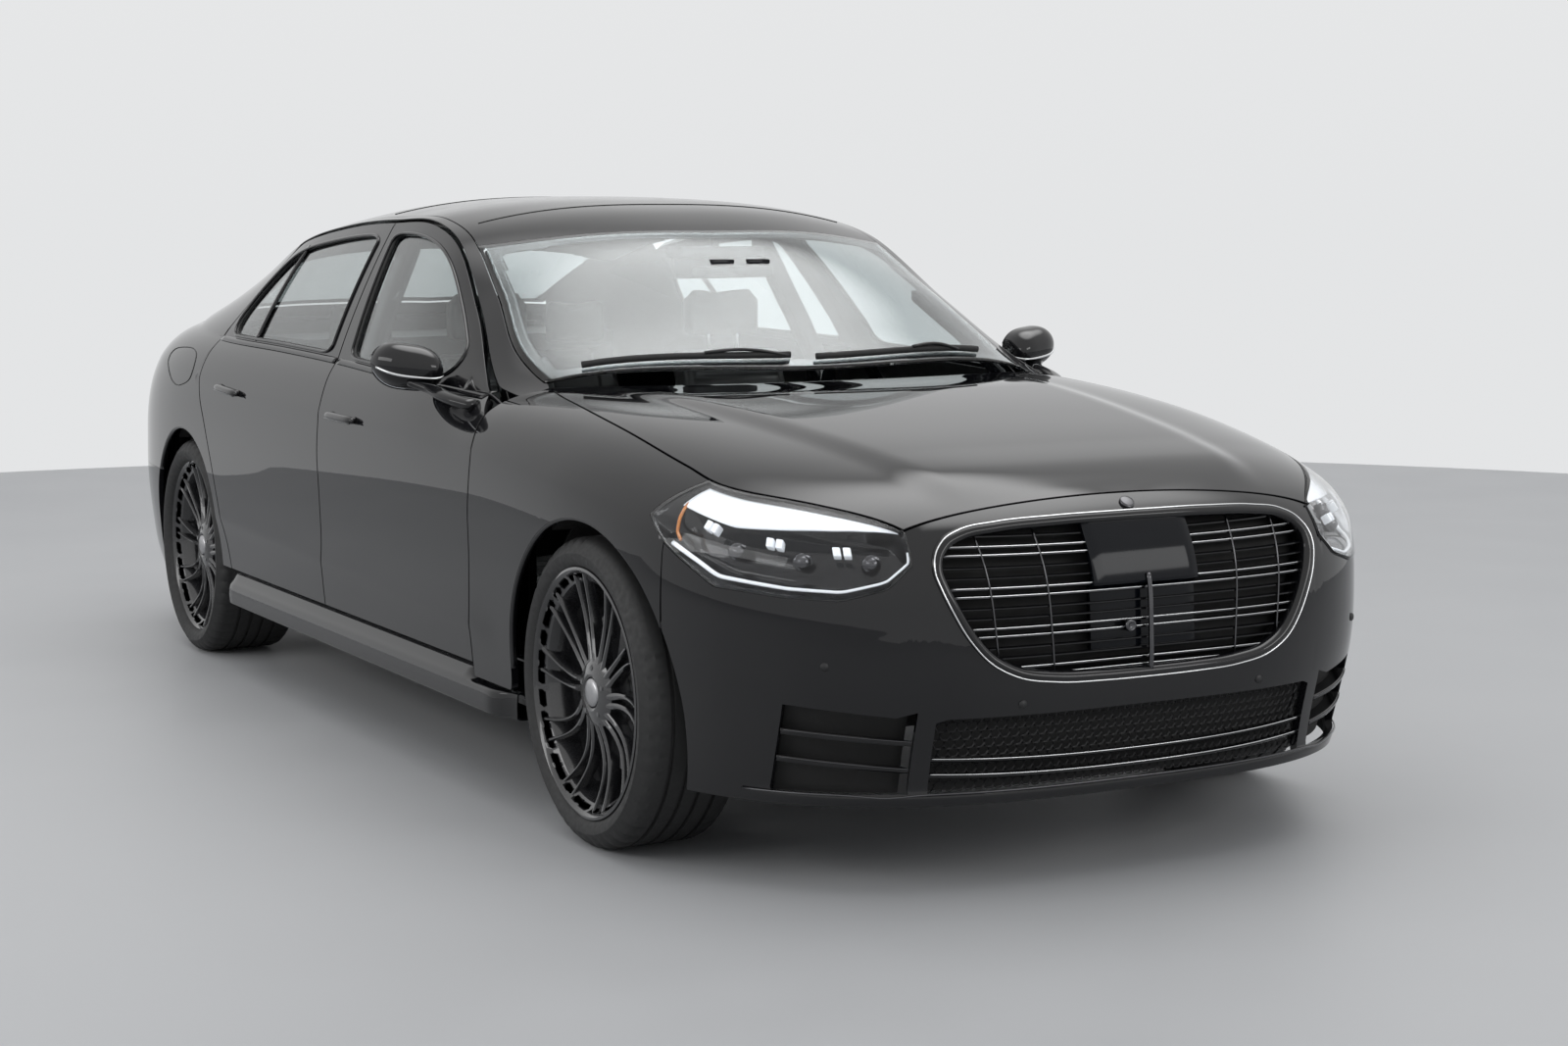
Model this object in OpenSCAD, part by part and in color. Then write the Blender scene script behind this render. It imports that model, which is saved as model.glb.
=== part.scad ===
// A long-wheelbase saloon car, built as an assembly of separate pieces.
// X forward, Y to the car's left, Z up, the origin on the ground at the middle of the length and width.
// All lengths are millimetres. Every piece is drawn in its assembled, closed position.

/* [Overall size] */
// Overall length from nose to tail
length = 5289; // [5000:1:5500]
// Distance between the front and rear axle centres
wheelbase = 3216; // [3050:1:3400]
// Distance from the front axle centre to the nose
front_overhang = 880; // [820:1:940]
// Width over the body, mirrors left out
body_width = 1914; // [1800:1:2000]
// Height from the ground to the highest point of the roof
height = 1503; // [1420:1:1580]

/* [Wheels] */
// Radius of the tyres on the ground
tyre_radius = 356; // [335:1:362]
// Radius of the rim over its flange
rim_radius = 285; // [255:1:290]
// Width of a front tyre
front_tyre_width = 255; // [225:1:262]
// Width of a rear tyre
rear_tyre_width = 285; // [245:1:290]
// Distance of the front wheel centre from the middle plane
front_track_half = 815; // [800:1:820]
// Distance of the rear wheel centre from the middle plane
rear_track_half = 800; // [785:1:805]
// Spokes on each wheel
spokes = 20; // [10:1:24]
// Radius of the brake discs
disc_radius = 185; // [150:1:200]

/* [Panels] */
// Thickness of the doors below the window line
door_thick = 64; // [50:1:75]
// Thickness of the door frames round the windows
frame_thick = 36; // [28:1:42]
// Thickness of the fenders, quarters and bumper covers
cover_thick = 22; // [14:1:26]
// Thickness of the hood and the boot lid
lid_thick = 30; // [20:1:34]
// Thickness of the roof with its lining
roof_thick = 34; // [24:1:42]
// Thickness of the windows
glass_thick = 5; // [4:0.5:8]
// Radius of the wheel arches
arch_radius = 400; // [385:1:410]

/* [Clearances] */
// Gap round every panel that opens
shut_gap = 6; // [5:0.5:9]
// Seam between two fixed panels
seam = 0.8; // [0.6:0.1:0.9]
// Gap between a piece and the flat face it is seated on
seat_gap = 0.4; // [0.2:0.1:0.8]
// Height of the underside of the floor above the ground
floor_height = 150; // [130:1:180]

/* [Hidden] */
eps = 0.01;
axle_f = 1765;
axle_r = -1451;
rear_overhang = length - wheelbase - front_overhang;
front_x = length / 2 - front_overhang;
rear_x = front_x - wheelbase;
ky = body_width / 1914;
kz = height / 1503;
wz = tyre_radius;

// ---- from the drawing's proportions to the chosen overall size ----
function mx(x) = x > axle_f ? front_x + (x - axle_f) * front_overhang / 880
  : x > axle_r ? rear_x + (x - axle_r) * wheelbase / 3216
  : rear_x + (x - axle_r) * rear_overhang / 1193;
function M(p) = [mx(p[0]), p[1] * ky, p[2] * kz];

// ---- small helpers ----
function lerp(a, b, t) = a + (b - a) * t;
function clamp(v, a, b) = min(max(v, a), b);
function unit(v) = v / max(norm(v), 0.000001);
function seg(p, x, i = 0) = i >= len(p) - 2 || x < p[i + 1][0] ? i : seg(p, x, i + 1);
function chord(p, i) = (p[i + 1][1] - p[i][1]) / (p[i + 1][0] - p[i][0]);
function slope(p, i) = i == 0 ? chord(p, 0) : i == len(p) - 1 ? chord(p, i - 1)
  : let(a = p[i][0] - p[i - 1][0], b = p[i + 1][0] - p[i][0])
    (chord(p, i - 1) * b + chord(p, i) * a) / (a + b);
// A smooth curve through hand-chosen points, given in rising order
function curve(p, v) = let(x = clamp(v, p[0][0], p[len(p) - 1][0]), i = seg(p, x),
  h = p[i + 1][0] - p[i][0], t = (x - p[i][0]) / h, m = slope(p, i), n = slope(p, i + 1))
  (2 * t^3 - 3 * t^2 + 1) * p[i][1] + (t^3 - 2 * t^2 + t) * h * m
  + (3 * t^2 - 2 * t^3) * p[i + 1][1] + (t^3 - t^2) * h * n;
// Straight lines through hand-chosen points
function poly(p, v) = let(x = clamp(v, p[0][0], p[len(p) - 1][0]), i = seg(p, x))
  lerp(p[i][1], p[i + 1][1], (x - p[i][0]) / (p[i + 1][0] - p[i][0]));

// ---- the body's outer skin ----
// Nose and tail profiles on the middle plane, height then x
NOSE = [[120, 2560], [200, 2590], [300, 2610], [450, 2645], [560, 2645], [660, 2635], [740, 2605],
  [800, 2565], [850, 2500], [920, 2400], [1200, 2200]];
TAIL = [[200, -2500], [300, -2580], [450, -2635], [560, -2645], [700, -2630], [850, -2600],
  [1000, -2575], [1080, -2560], [1300, -2500]];
// Half-width against height
WIDTH = [[120, 900], [200, 920], [300, 938], [400, 946], [550, 956], [700, 957], [1300, 957]];
// Height of the lower body on the middle plane against x
CROWN = [[-2700, 1070], [-2550, 1085], [-2300, 1100], [-2000, 1115], [-1500, 1130], [-800, 1140],
  [0, 1130], [600, 1090], [1000, 1015], [1200, 1005], [1500, 985], [1900, 945], [2200, 905],
  [2400, 870], [2520, 835], [2650, 790]];
P_EXP = [[-2600, 5], [-2000, 7], [0, 8], [600, 9], [1100, 10], [1600, 8], [2000, 6], [2500, 5]];
Q_EXP = [[-2600, 2.4], [-2000, 2.6], [0, 2.5], [600, 2.7], [1100, 3], [1600, 2.6], [2000, 2.3],
  [2500, 2.2]];
waist = 700;
function taper(x, z) = let(u = clamp((x - 1100) / (curve(NOSE, z) - 1100), 0, 1),
  v = clamp((-1000 - x) / (-1000 - curve(TAIL, z)), 0, 1))
  pow(1 - pow(u, 4.6), 0.36) * pow(1 - pow(v, 4.6), 0.34);
function side(x, z) = let(c = curve(CROWN, x), t = clamp((z - waist) / (c - waist), 0, 1))
  curve(WIDTH, z) * taper(x, z)
    * (z > waist ? pow(1 - pow(t, curve(Q_EXP, x)), 1 / curve(P_EXP, x)) : 1);
// Height of the skin above a point of the plan
function top(x, y, a = waist, b = 1200, n = 16) = n == 0 ? (a + b) / 2
  : let(m = (a + b) / 2) side(x, min(m, curve(CROWN, x) + 1)) > abs(y) && m < curve(CROWN, x)
    ? top(x, y, m, b, n - 1) : top(x, y, a, m, n - 1);
// The skin met by a ray from an inner point c through p
function inside(p) = p[2] < curve(CROWN, p[0]) && side(p[0], p[2]) > abs(p[1]);
function on_skin(p, c, a = 0.3, b = 1.9, n = 15) = let(m = (a + b) / 2)
  n == 0 ? c + (p - c) * m : inside(c + (p - c) * m) ? on_skin(p, c, m, b, n - 1)
    : on_skin(p, c, a, m, n - 1);

// ---- the glasshouse ----
BELT_Z = [[-2100, 1095], [-1600, 1070], [-1200, 1055], [-600, 1045], [0, 1030], [500, 1010],
  [1000, 987], [1300, 975]];
RAIL_Y = [[-2100, 640], [-1600, 615], [-1100, 630], [-650, 632], [-200, 638], [155, 643], [350, 660],
  [650, 718], [1000, 805], [1200, 810]];
RAIL_Z = [[-2100, 1108], [-1900, 1155], [-1500, 1268], [-1100, 1368], [-650, 1418], [-200, 1434],
  [155, 1424], [350, 1376], [650, 1200], [1000, 1000], [1300, 950]];
CENTRE_Z = [[-2100, 1113], [-1950, 1165], [-1700, 1262], [-1400, 1372], [-1100, 1446], [-700, 1494],
  [-400, 1503], [-100, 1499], [200, 1481], [450, 1443], [636, 1378], [1000, 1150], [1250, 1000]];
function belt_z(x) = curve(BELT_Z, x);
function rail_z(x) = curve(RAIL_Z, x);
function rail_y(x) = curve(RAIL_Y, x);
function house(x, z) = let(b = belt_z(x), t = clamp((z - b) / max(rail_z(x) - b, 8), 0, 1))
  lerp(side(x, b), rail_y(x), t) + 48 * t * (1 - t);
function skin_y(x, z) = x < -2050 || x > 1000 || z < belt_z(x) ? side(x, z) : house(x, z);
function crown(x, y) = let(r = rail_z(x))
  r + (curve(CENTRE_Z, x) - r) * (1 - pow(min(abs(y) / rail_y(x), 1), 2.6));

// ---- panels: an outer grid, an inner grid and the walls between them ----
function at(G, i, j) = G[clamp(i, 0, len(G) - 1)][clamp(j, 0, len(G[0]) - 1)];
function normal(G, i, j) = unit(cross(at(G, i, j + 1) - at(G, i, j - 1),
  at(G, i + 1, j) - at(G, i - 1, j)));
function pushed(G, t) = [for (i = [0:len(G) - 1]) [for (j = [0:len(G[0]) - 1])
  G[i][j] - (is_list(t) ? t[i] : t) * normal(G, i, j)]];
// Draw the outer rows and columns in by a distance
function toward(a, b, d) = a + (b - a) * min(d / max(norm(b - a), 1), 0.7);
function drawn_in(G, d, e) = let(n = len(G) - 1, m = len(G[0]) - 1,
  A = [for (i = [0:n]) [for (j = [0:m])
    j == 0 ? toward(G[i][0], G[i][1], d) : j == m ? toward(G[i][m], G[i][m - 1], d) : G[i][j]]])
  [for (i = [0:n]) [for (j = [0:m])
    i == 0 ? toward(A[0][j], A[1][j], e) : i == n ? toward(A[n][j], A[n - 1][j], e) : A[i][j]]];
function flip(G) = [for (r = G) [for (j = [len(r) - 1:-1:0]) r[j]]];
function mapped(G) = [for (r = G) [for (p = r) M(p)]];
// holes: [first row, last row, first column, last column], cells left out
function open(H, i, j) = len([for (h = H) if (i >= h[0] && i < h[1] && j >= h[2] && j < h[3]) 1]) > 0;
module panel(P, Q, H = []) {
  n = len(P) - 1;
  m = len(P[0]) - 1;
  w = m + 1;
  s = (n + 1) * w;
  function id(i, j) = i * w + j;
  function kept(i, j) = i >= 0 && i < n && j >= 0 && j < m && !open(H, i, j);
  cells = [for (i = [0:n - 1]) for (j = [0:m - 1]) if (kept(i, j)) [i, j]];
  skin = [for (c = cells) let(a = id(c[0], c[1]), b = a + 1, e = a + w, f = e + 1)
    each [[a, e, f], [a, f, b], [s + a, s + f, s + e], [s + a, s + b, s + f]]];
  walls = [for (c = cells) let(i = c[0], j = c[1], a = id(i, j), b = a + 1, e = a + w, f = e + 1)
    each concat(kept(i - 1, j) ? [] : [[a, b, s + b], [a, s + b, s + a]],
      kept(i + 1, j) ? [] : [[f, e, s + e], [f, s + e, s + f]],
      kept(i, j - 1) ? [] : [[e, a, s + a], [e, s + a, s + e]],
      kept(i, j + 1) ? [] : [[b, f, s + f], [b, s + f, s + b]])];
  polyhedron(concat([for (r = P) each r], [for (r = Q) each r]), concat(skin, walls), convexity = 12);
}
module skin_panel(G, t, H = [], lean = [0, 0]) {
  panel(mapped(G), mapped(drawn_in(pushed(G, t), lean[0], lean[1])), H);
}
// A window in the cells from row a to b and column c to d of a panel, between two depths
function between(P, Q, k) = [for (i = [0:len(P) - 1])
  [for (j = [0:len(P[0]) - 1]) lerp(P[i][j], Q[i][j], k)]];
function cut(G, a, b, c, d) = [for (i = [a:b]) [for (j = [c:d]) G[i][j]]];
module window(G, t, h, d0, d1) {
  P = cut(G, h[0], h[1], h[2], h[3]);
  Q = cut(pushed(G, t), h[0], h[1], h[2], h[3]);
  panel(mapped(drawn_in(between(P, Q, d0), seat_gap, seat_gap)),
    mapped(drawn_in(between(P, Q, d1), seat_gap, seat_gap)));
}

// ---- plain bodies ----
module box(x0, x1, y0, y1, z0, z1) {
  a = M([x0, y0, z0]);
  b = M([x1, y1, z1]);
  translate(a) cube(b - a);
}
module bar(p, q, s) hull() for (v = [p, q]) translate(M(v)) cube(s, center = true);
module chain(pts, s) for (i = [0:len(pts) - 2]) bar(pts[i], pts[i + 1], s);
module pair() {
  children();
  mirror([0, 1, 0]) children();
}
// Drawn across the car with the axis along Y at a wheel centre
module on_axle(x, y) translate([x, y, wz]) rotate([-90, 0, 0]) children();

// ---- doors ----
FRONT_SHUT = [[300, 1116], [378, 1116], [611, 1139], [706, 1134], [790, 1142], [869, 1138],
  [946, 1100]];
MID_SHUT = [[300, -25], [390, -30], [540, -6], [670, -17], [758, -28], [918, -40], [1008, -66],
  [1200, -122], [1410, -190]];
REAR_SHUT = [[300, -950], [400, -975], [500, -1022], [600, -1074], [677, -1116], [793, -1185],
  [870, -1250], [950, -1285], [1050, -1290], [1200, -1215], [1340, -1120]];
sill_top = 335;
hub_z = 356;
g = shut_gap / 2;
head_gap = shut_gap + 5;
// Half the gap, measured along X, where a shut line leans
function half_gap(line, z) = 0.6 + g * sqrt(1 + pow((curve(line, z + 5) - curve(line, z - 5)) / 10, 2));
// Door grids: rows from the sill up to the belt, then two rows of frame below and above the window
DF_X = [1100, 1010, 930, 830, 700, 560, 420, 280, 140, 20, -70];
DF_V = [0, 0.12, 0.3, 0.48, 0.62, 0.74, 0.84, 0.93, 1];
function df_u(j) = (DF_X[0] - DF_X[j]) / (DF_X[0] - DF_X[10]);
function df_belt(x) = x > 985 ? lerp(belt_z(985), 946, (x - 985) / 115) : belt_z(x);
function df_low(i, j) = let(u = df_u(j), v = DF_V[i], x1 = DF_X[j],
  z = lerp(sill_top, df_belt(x1), v), xf = curve(FRONT_SHUT, z) - half_gap(FRONT_SHUT, z),
  xr = curve(MID_SHUT, z) + g,
  x = v < 1 ? lerp(xf, xr, u) : j == 10 ? xr : DF_X[j])
  [x, side(x, z), z];
function df_top(i, j) = let(x0 = DF_X[max(j, 2)], u = df_u(j), b = df_belt(x0),
  r = rail_z(x0 - 0.3 * u * u * (rail_z(x0) - b)) - head_gap,
  z = i == 0 ? b + 10 : i == 1 ? lerp(b + 10, r - 34, 0.5) : i == 2 ? max(r - 34, b + 12) : r,
  x = x0 - 0.3 * u * u * (z - b))
  j < 2 ? [DF_X[j], side(DF_X[j], df_belt(DF_X[j])) - 2 * i, df_belt(DF_X[j]) + 0.5 * i + 0.5]
    : [x, house(x, z), z];
DF = concat([for (i = [0:8]) [for (j = [0:10]) df_low(i, j)]],
  [for (i = [0:3]) [for (j = [0:10]) df_top(i, j)]]);
DF_T = concat([for (i = [0:6]) door_thick], [door_thick - 6, 46], [for (i = [0:3]) frame_thick]);
DF_HOLE = [9, 11, 3, 9];

DR_X = [-80.5, -170, -330, -500, -660, -790, -900, -925, -1030, -1120, -1190, -1245, -1284];
DR_V = DF_V;
function dr_u(j) = (DR_X[0] - DR_X[j]) / (DR_X[0] - DR_X[12]);
function dr_low(i, j) = let(u = dr_u(j), v = DR_V[i], z = lerp(sill_top, belt_z(DR_X[j]), v),
  x = v == 1 ? DR_X[j]
    : lerp(curve(MID_SHUT, z) - g, curve(REAR_SHUT, z) + half_gap(REAR_SHUT, z), u))
  [x, side(x, z), z];
DR_TOP = [[-1284, 1075], [-1245, 1150], [-1190, 1243], [-1120, 1330], [-1030, 1376]];
function dr_head(x) = min(rail_z(x) - head_gap, x > -1030 ? 2000 : curve(DR_TOP, x));
function dr_top(i, j) = let(x0 = DR_X[j], u = 1 - dr_u(j), b = belt_z(x0),
  h = dr_head(x0 - 0.3 * u * u * (rail_z(x0) - b)), w = j > 10 ? 14 : 34,
  z = i == 0 ? b + 10 : i == 1 ? lerp(b + 10, h - w, 0.5) : i == 2 ? max(h - w, b + 12) : h,
  x = x0 - 0.3 * u * u * (z - b)) [x, house(x, z), z];
DR = concat([for (i = [0:8]) [for (j = [0:12]) dr_low(i, j)]],
  [for (i = [0:3]) [for (j = [0:12]) dr_top(i, j)]]);
DR_T = DF_T;
DR_HOLE_A = [9, 11, 1, 6];
DR_HOLE_B = [9, 11, 7, 11];

module handle(x, z) {
  y = side(x, z);
  bar([x - 135, y + 4, z], [x + 135, y + 4, z], [20, 16, 22]);
}
module door_front() {
  skin_panel(DF, DF_T, [DF_HOLE, [9, 12, 0, 2], [8, 9, 0, 2]], [12, 22]);
  handle(190, 886);
  // arm rest, pocket and the hinge straps
  chain([[850, 856, 700], [500, 852, 690], [150, 852, 690]], [60, 90, 70]);
  bar([700, 858, 420], [150, 858, 430], [50, 60, 110]);
  for (z = [470, 780]) chain([[1052, 905, z], [1075, 885, z], [1050, 880, z]], [26, 26, 40]);
}
module door_rear() {
  skin_panel(DR, DR_T, [DR_HOLE_A, DR_HOLE_B], [12, 22]);
  handle(-915, 905);
  chain([[-230, 852, 700], [-560, 852, 700], [-850, 856, 710]], [60, 90, 70]);
  bar([-230, 858, 430], [-700, 858, 440], [50, 60, 110]);
  for (z = [470, 780]) chain([[-112, 905, z], [-90, 885, z], [-115, 880, z]], [26, 26, 40]);
}
module door_front_left() color([0.08, 0.08, 0.09]) door_front();
module door_front_right() color([0.08, 0.08, 0.09]) mirror([0, 1, 0]) door_front();
module door_rear_left() color([0.08, 0.08, 0.09]) door_rear();
module door_rear_right() color([0.08, 0.08, 0.09]) mirror([0, 1, 0]) door_rear();
module glass_front() window(DF, DF_T, DF_HOLE, 0.2, 0.2 + glass_thick / frame_thick);
module glass_rear() {
  window(DR, DR_T, DR_HOLE_A, 0.2, 0.2 + glass_thick / frame_thick);
  window(DR, DR_T, DR_HOLE_B, 0.2, 0.2 + glass_thick / frame_thick);
}
module glass_front_left() color([0.3, 0.35, 0.38]) glass_front();
module glass_front_right() color([0.3, 0.35, 0.38]) mirror([0, 1, 0]) glass_front();
module glass_rear_left() color([0.3, 0.35, 0.38]) glass_rear();
module glass_rear_right() color([0.3, 0.35, 0.38]) mirror([0, 1, 0]) glass_rear();

// ---- mirrors, carried by the front doors ----
module mirror_one() {
  hull() {
    translate(M([770, 960, 1040])) scale([1.1, 1.5, 1]) sphere(d = 110, $fn = 16);
    translate(M([745, 990, 1060])) scale([0.9, 1, 1.1]) sphere(d = 110, $fn = 16);
  }
  hull() {
    translate(M([800, side(800, 960) + 12.6, 968])) cube([90, 12, 30], center = true);
    translate(M([775, 945, 1000])) cube([60, 30, 20], center = true);
  }
}
module mirror_left() color([0.08, 0.08, 0.09]) mirror_one();
module mirror_right() color([0.08, 0.08, 0.09]) mirror([0, 1, 0]) mirror_one();

// ---- roof, windscreen and rear window ----
// Width of the pillar strip beside the windows, growing toward the windscreen's foot
PILLAR = [[-2000, 46], [650, 46], [850, 58], [1000, 85], [1062, 92], [1200, 95]];
function glass_y(x) = rail_y(x) - curve(PILLAR, x);
edge_in = 3.2;
CROSS = [-1, -0.9, -0.75, -0.5, -0.25, 0, 0.25, 0.5, 0.75, 0.9, 1];
function across(x, c, in) = let(y = c * (glass_y(x) - in)) [x, y, crown(x, y)];
function bowed(x0, x1, c) = lerp(x0, x1, c * c);
ROOF_V = [0, 0.1, 0.22, 0.36, 0.5, 0.64, 0.78, 0.9, 1];
ROOF = [for (v = ROOF_V) [for (c = CROSS)
  across(lerp(bowed(-1420, -1360, c), bowed(592, 420, c), v), c, edge_in)]];
SCREEN_V = [0, 0.2, 0.45, 0.7, 0.88, 1];
SCREEN = [for (v = SCREEN_V) [for (c = CROSS)
  across(lerp(bowed(592, 420, c) + seam, bowed(1184, 1062, c), v), c, v == 0 ? edge_in : 4)]];
REAR_V = [0, 0.25, 0.5, 0.75, 1];
REAR = [for (v = REAR_V) [for (c = CROSS)
  across(lerp(-1990, bowed(-1420, -1360, c) - seam, v), c, v == 1 ? edge_in : 4)]];
module roof() color([0.05, 0.05, 0.05]) skin_panel(flip(ROOF), roof_thick, [], [10, 4]);
module windscreen() color([0.3, 0.35, 0.38]) skin_panel(flip(SCREEN), glass_thick);
module rear_window() color([0.3, 0.35, 0.38]) skin_panel(flip(REAR), glass_thick);

// ---- hood ----
HOOD_Y = [[1060, 706], [1200, 738], [1400, 764], [1690, 782], [2000, 780], [2135, 768], [2350, 655],
  [2500, 533]];
HOOD_V = [0, 0.08, 0.22, 0.38, 0.52, 0.66, 0.8, 0.92, 1];
HOOD_C = [-1, -0.92, -0.8, -0.6, -0.3, 0, 0.3, 0.6, 0.8, 0.92, 1];
function hood_pt(v, c, in) = let(xs = lerp(1092, 2500, v), y = c * (curve(HOOD_Y, xs) - in),
  x = xs + (1 - c * c) * lerp(105, 22, v)) [x, y, top(x, y)];
HOOD = [for (v = HOOD_V) [for (c = HOOD_C) hood_pt(v, c, g)]];
module hood() color([0.08, 0.08, 0.09]) {
  skin_panel(flip(HOOD), lid_thick, [], [12, 12]);
  for (y = [-640, 610]) box(1110, 1138, y, y + 30, 900, 985);
}

// ---- fenders ----
function arch_z(x, xa, r) = hub_z + sqrt(max(r * r - (x - xa) * (x - xa), 0));
function fender_low(x) = x < axle_f - arch_radius + 2 ? 300 : max(arch_z(x, axle_f, arch_radius), 300);
FEN_X = [1140, 1200, 1280, 1358, 1368, 1385, 1420, 1480, 1560, 1660, 1765, 1870, 1960, 2020, 2066,
  2115];
FEN_S = [0, 0.35, 0.7, 1, 1.17, 1.3, 1.43, 1.62, 1.81, 2];
FEN_END = [[0, 2113], [1, 2116], [1.17, 2116], [1.43, 2042], [2, 2098]];
// A point of the section at x: s from 0 at height z0 to 1 at height z1, on to 2 at half-width y2
function section(x, s, z0, z1, y2) = s <= 1 ? let(z = lerp(z0, z1, s)) [x, side(x, z), z]
  : let(c = curve(CROWN, x), q = curve(Q_EXP, x),
      a0 = asin(pow(max(z1 - waist, 0) / (c - waist), q / 2)),
      a1 = asin(pow(clamp((top(x, y2) - waist) / (c - waist), 0, 0.9999), q / 2)),
      a = lerp(a0, a1, s - 1),
      z = waist + (c - waist) * pow(sin(a), 2 / q)) [x, side(x, z), z];
function fender_at(x, s) = let(zl = fender_low(x)) section(x, s, zl, max(waist, zl + 26),
  curve(HOOD_Y, max(x, 1092)) + g);
function fender_pt(i, j) = let(s = FEN_S[i], x0 = FEN_X[j], e = poly(FEN_END, s),
  z0 = fender_at(1150, s)[2], d = curve(FRONT_SHUT, z0) + half_gap(FRONT_SHUT, z0),
  x = j == 0 ? d : j == 15 ? e - seam : j == 14 ? min(x0, e - 20) : j == 13 ? min(x0, e - 40)
    : j == 12 ? min(x0, e - 70) : j == 1 ? max(x0, d + 30) : x0)
  fender_at(x, s);
FENDER = [for (i = [0:len(FEN_S) - 1]) [for (j = [0:len(FEN_X) - 1]) fender_pt(i, j)]];
module front_fenders() color([0.08, 0.08, 0.09]) pair()
  skin_panel(flip(FENDER), cover_thick, [], [6, 4]);

// ---- front bumper cover, with the openings for the grille and the intakes ----
// Stations round the nose: x falls and y grows toward the wheel arch
NOSE_Y = [0, 130, 250, 340, 400, 445, 478, 498, 530, 570, 640, 710, 760, 800, 840];
NOSE_TAIL_X = [2240, 2180, 2118];
lip = 196;
function lamp_low(y) = poly([[533, 712], [588, 662], [672, 637], [760, 640], [840, 652]], y);
function lamp_low_x(x) = poly([[2118, 733], [2240, 668], [2290, 650]], x);
function grille_low(y) = poly([[0, 448], [250, 454], [340, 474], [400, 515], [445, 570], [478, 640],
  [498, 690]], y);
function grille_high(y) = poly([[0, 800], [250, 797], [340, 790], [400, 778], [445, 758],
  [478, 725], [498, 692]], y);
function hood_front(y) = poly([[0, 826], [250, 822], [400, 797], [533, 757]], y);
// Heights of the rows at a station, from the lip to the edge under the lamp or the hood
function nose_rows(y) = let(t = clamp((y - 498) / 72, 0, 1), q = clamp((y - 640) / 260, 0, 1),
  hi = y <= 530 ? hood_front(y) - g : lamp_low(y) - seam,
  a = y < 499 ? grille_low(y) : lerp(690, 520, t), b = y < 499 ? max(grille_high(y), a + 2)
    : lerp(692, 580, t))
  [lip, 240, 300, 365, min(lerp(420, 440, q), a - 12), a, lerp(a, b, 0.5), b, hi];
function nose_pt(i, j) = j < 15
  ? let(y = NOSE_Y[j], z = nose_rows(y)[i]) on_skin([2600, y, z], [1700, y, z], 0.4, 1.1)
  : let(x = NOSE_TAIL_X[j - 15], r = nose_rows(840),
      z = lerp(lip, lamp_low_x(x) - seam, (r[i] - r[0]) / (r[8] - r[0])),
      xe = j < 17 || z > 550 ? x
        : axle_f + sqrt(max(pow(arch_radius, 2) - pow(z - hub_z, 2), 0)) + seam)
      [xe, side(xe, z), z];
NOSE_HALF = [for (i = [0:8]) [for (j = [0:17]) nose_pt(i, j)]];
function turned(p) = [p[0], -p[1], p[2]];
function whole(H) = [for (r = H) concat([for (j = [len(r) - 1:-1:1]) turned(r[j])], r)];
// columns run from the right arch to the left arch
BUMPER = whole(NOSE_HALF);
mid = 17;
GRILLE_HOLE = [5, 7, mid - 7, mid + 7];
INTAKE_HOLE = [1, 3, mid - 6, mid + 6];
SIDE_HOLE_L = [1, 4, mid + 9, mid + 12];
SIDE_HOLE_R = [1, 4, mid - 12, mid - 9];
module front_bumper() color([0.08, 0.08, 0.09])
  skin_panel(BUMPER, cover_thick, [GRILLE_HOLE, INTAKE_HOLE, SIDE_HOLE_L, SIDE_HOLE_R], [0, 6]);
module grille() color([0.05, 0.05, 0.05]) {
  for (h = [GRILLE_HOLE, INTAKE_HOLE, SIDE_HOLE_L, SIDE_HOLE_R]) {
    C = cut(pushed(BUMPER, cover_thick + seat_gap), h[0], h[1], h[2], h[3]);
    panel(mapped(C), mapped([for (r = C) [for (p = r) p - [14, 0, 0]]]));
  }
}

// ---- headlamps ----
LAMP_S = [1.17, 1.3, 1.43, 1.62, 1.81, 2];
LAMP_V = [0, 0.125, 0.25, 0.5, 0.75, 1];
function lamp_hi(k) = let(x = lerp(2508, 2150, pow(k / 9, 1.1)))
  [x, curve(HOOD_Y, x) + g + 3, top(x, curve(HOOD_Y, x) + g + 3)];
function lamp_pt(i, k) = k == 9 ? let(s = LAMP_S[i]) fender_at(poly(FEN_END, s) + seam, s)
  : let(p = NOSE_HALF[8][8 + k])
    on_skin(lerp([p[0], p[1], p[2] + 4 * seam], lamp_hi(k), LAMP_V[i]), [1850, 420, 640]);
LAMP = [for (i = [0:5]) [for (k = [0:9]) lamp_pt(i, k)]];
module headlamps() color([0.7, 0.72, 0.75]) pair() skin_panel(LAMP, 28, [], [20, 20]);

// ---- boot lid ----
LID_A = [72, 78, 84, 91, 99, 107, 115, 122, 128, 135, 144, 155, 167, 176.2];
LID_C = [-1, -0.9, -0.7, -0.35, 0, 0.35, 0.7, 0.9, 1];
function lid_y(a) = poly([[72, 646], [107, 640], [130, 600], [177, 560]], a);
function lid_pt(a, c) = let(y = c * (lid_y(a) - g - 6))
  on_skin([-2160 + 400 * cos(a), y, 720 + 400 * sin(a)], [-2160, y, 720]);
LID = [for (a = LID_A) [for (c = LID_C) lid_pt(a, c)]];
module boot_lid() color([0.08, 0.08, 0.09]) {
  skin_panel(LID, lid_thick, [], [12, 8]);
  for (y = [-530, 500]) {
    box(-2075, -1965, y, y + 30, 1040, 1062);
    box(-2075, -2045, y, y + 30, 1040, 1085);
  }
}

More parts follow.
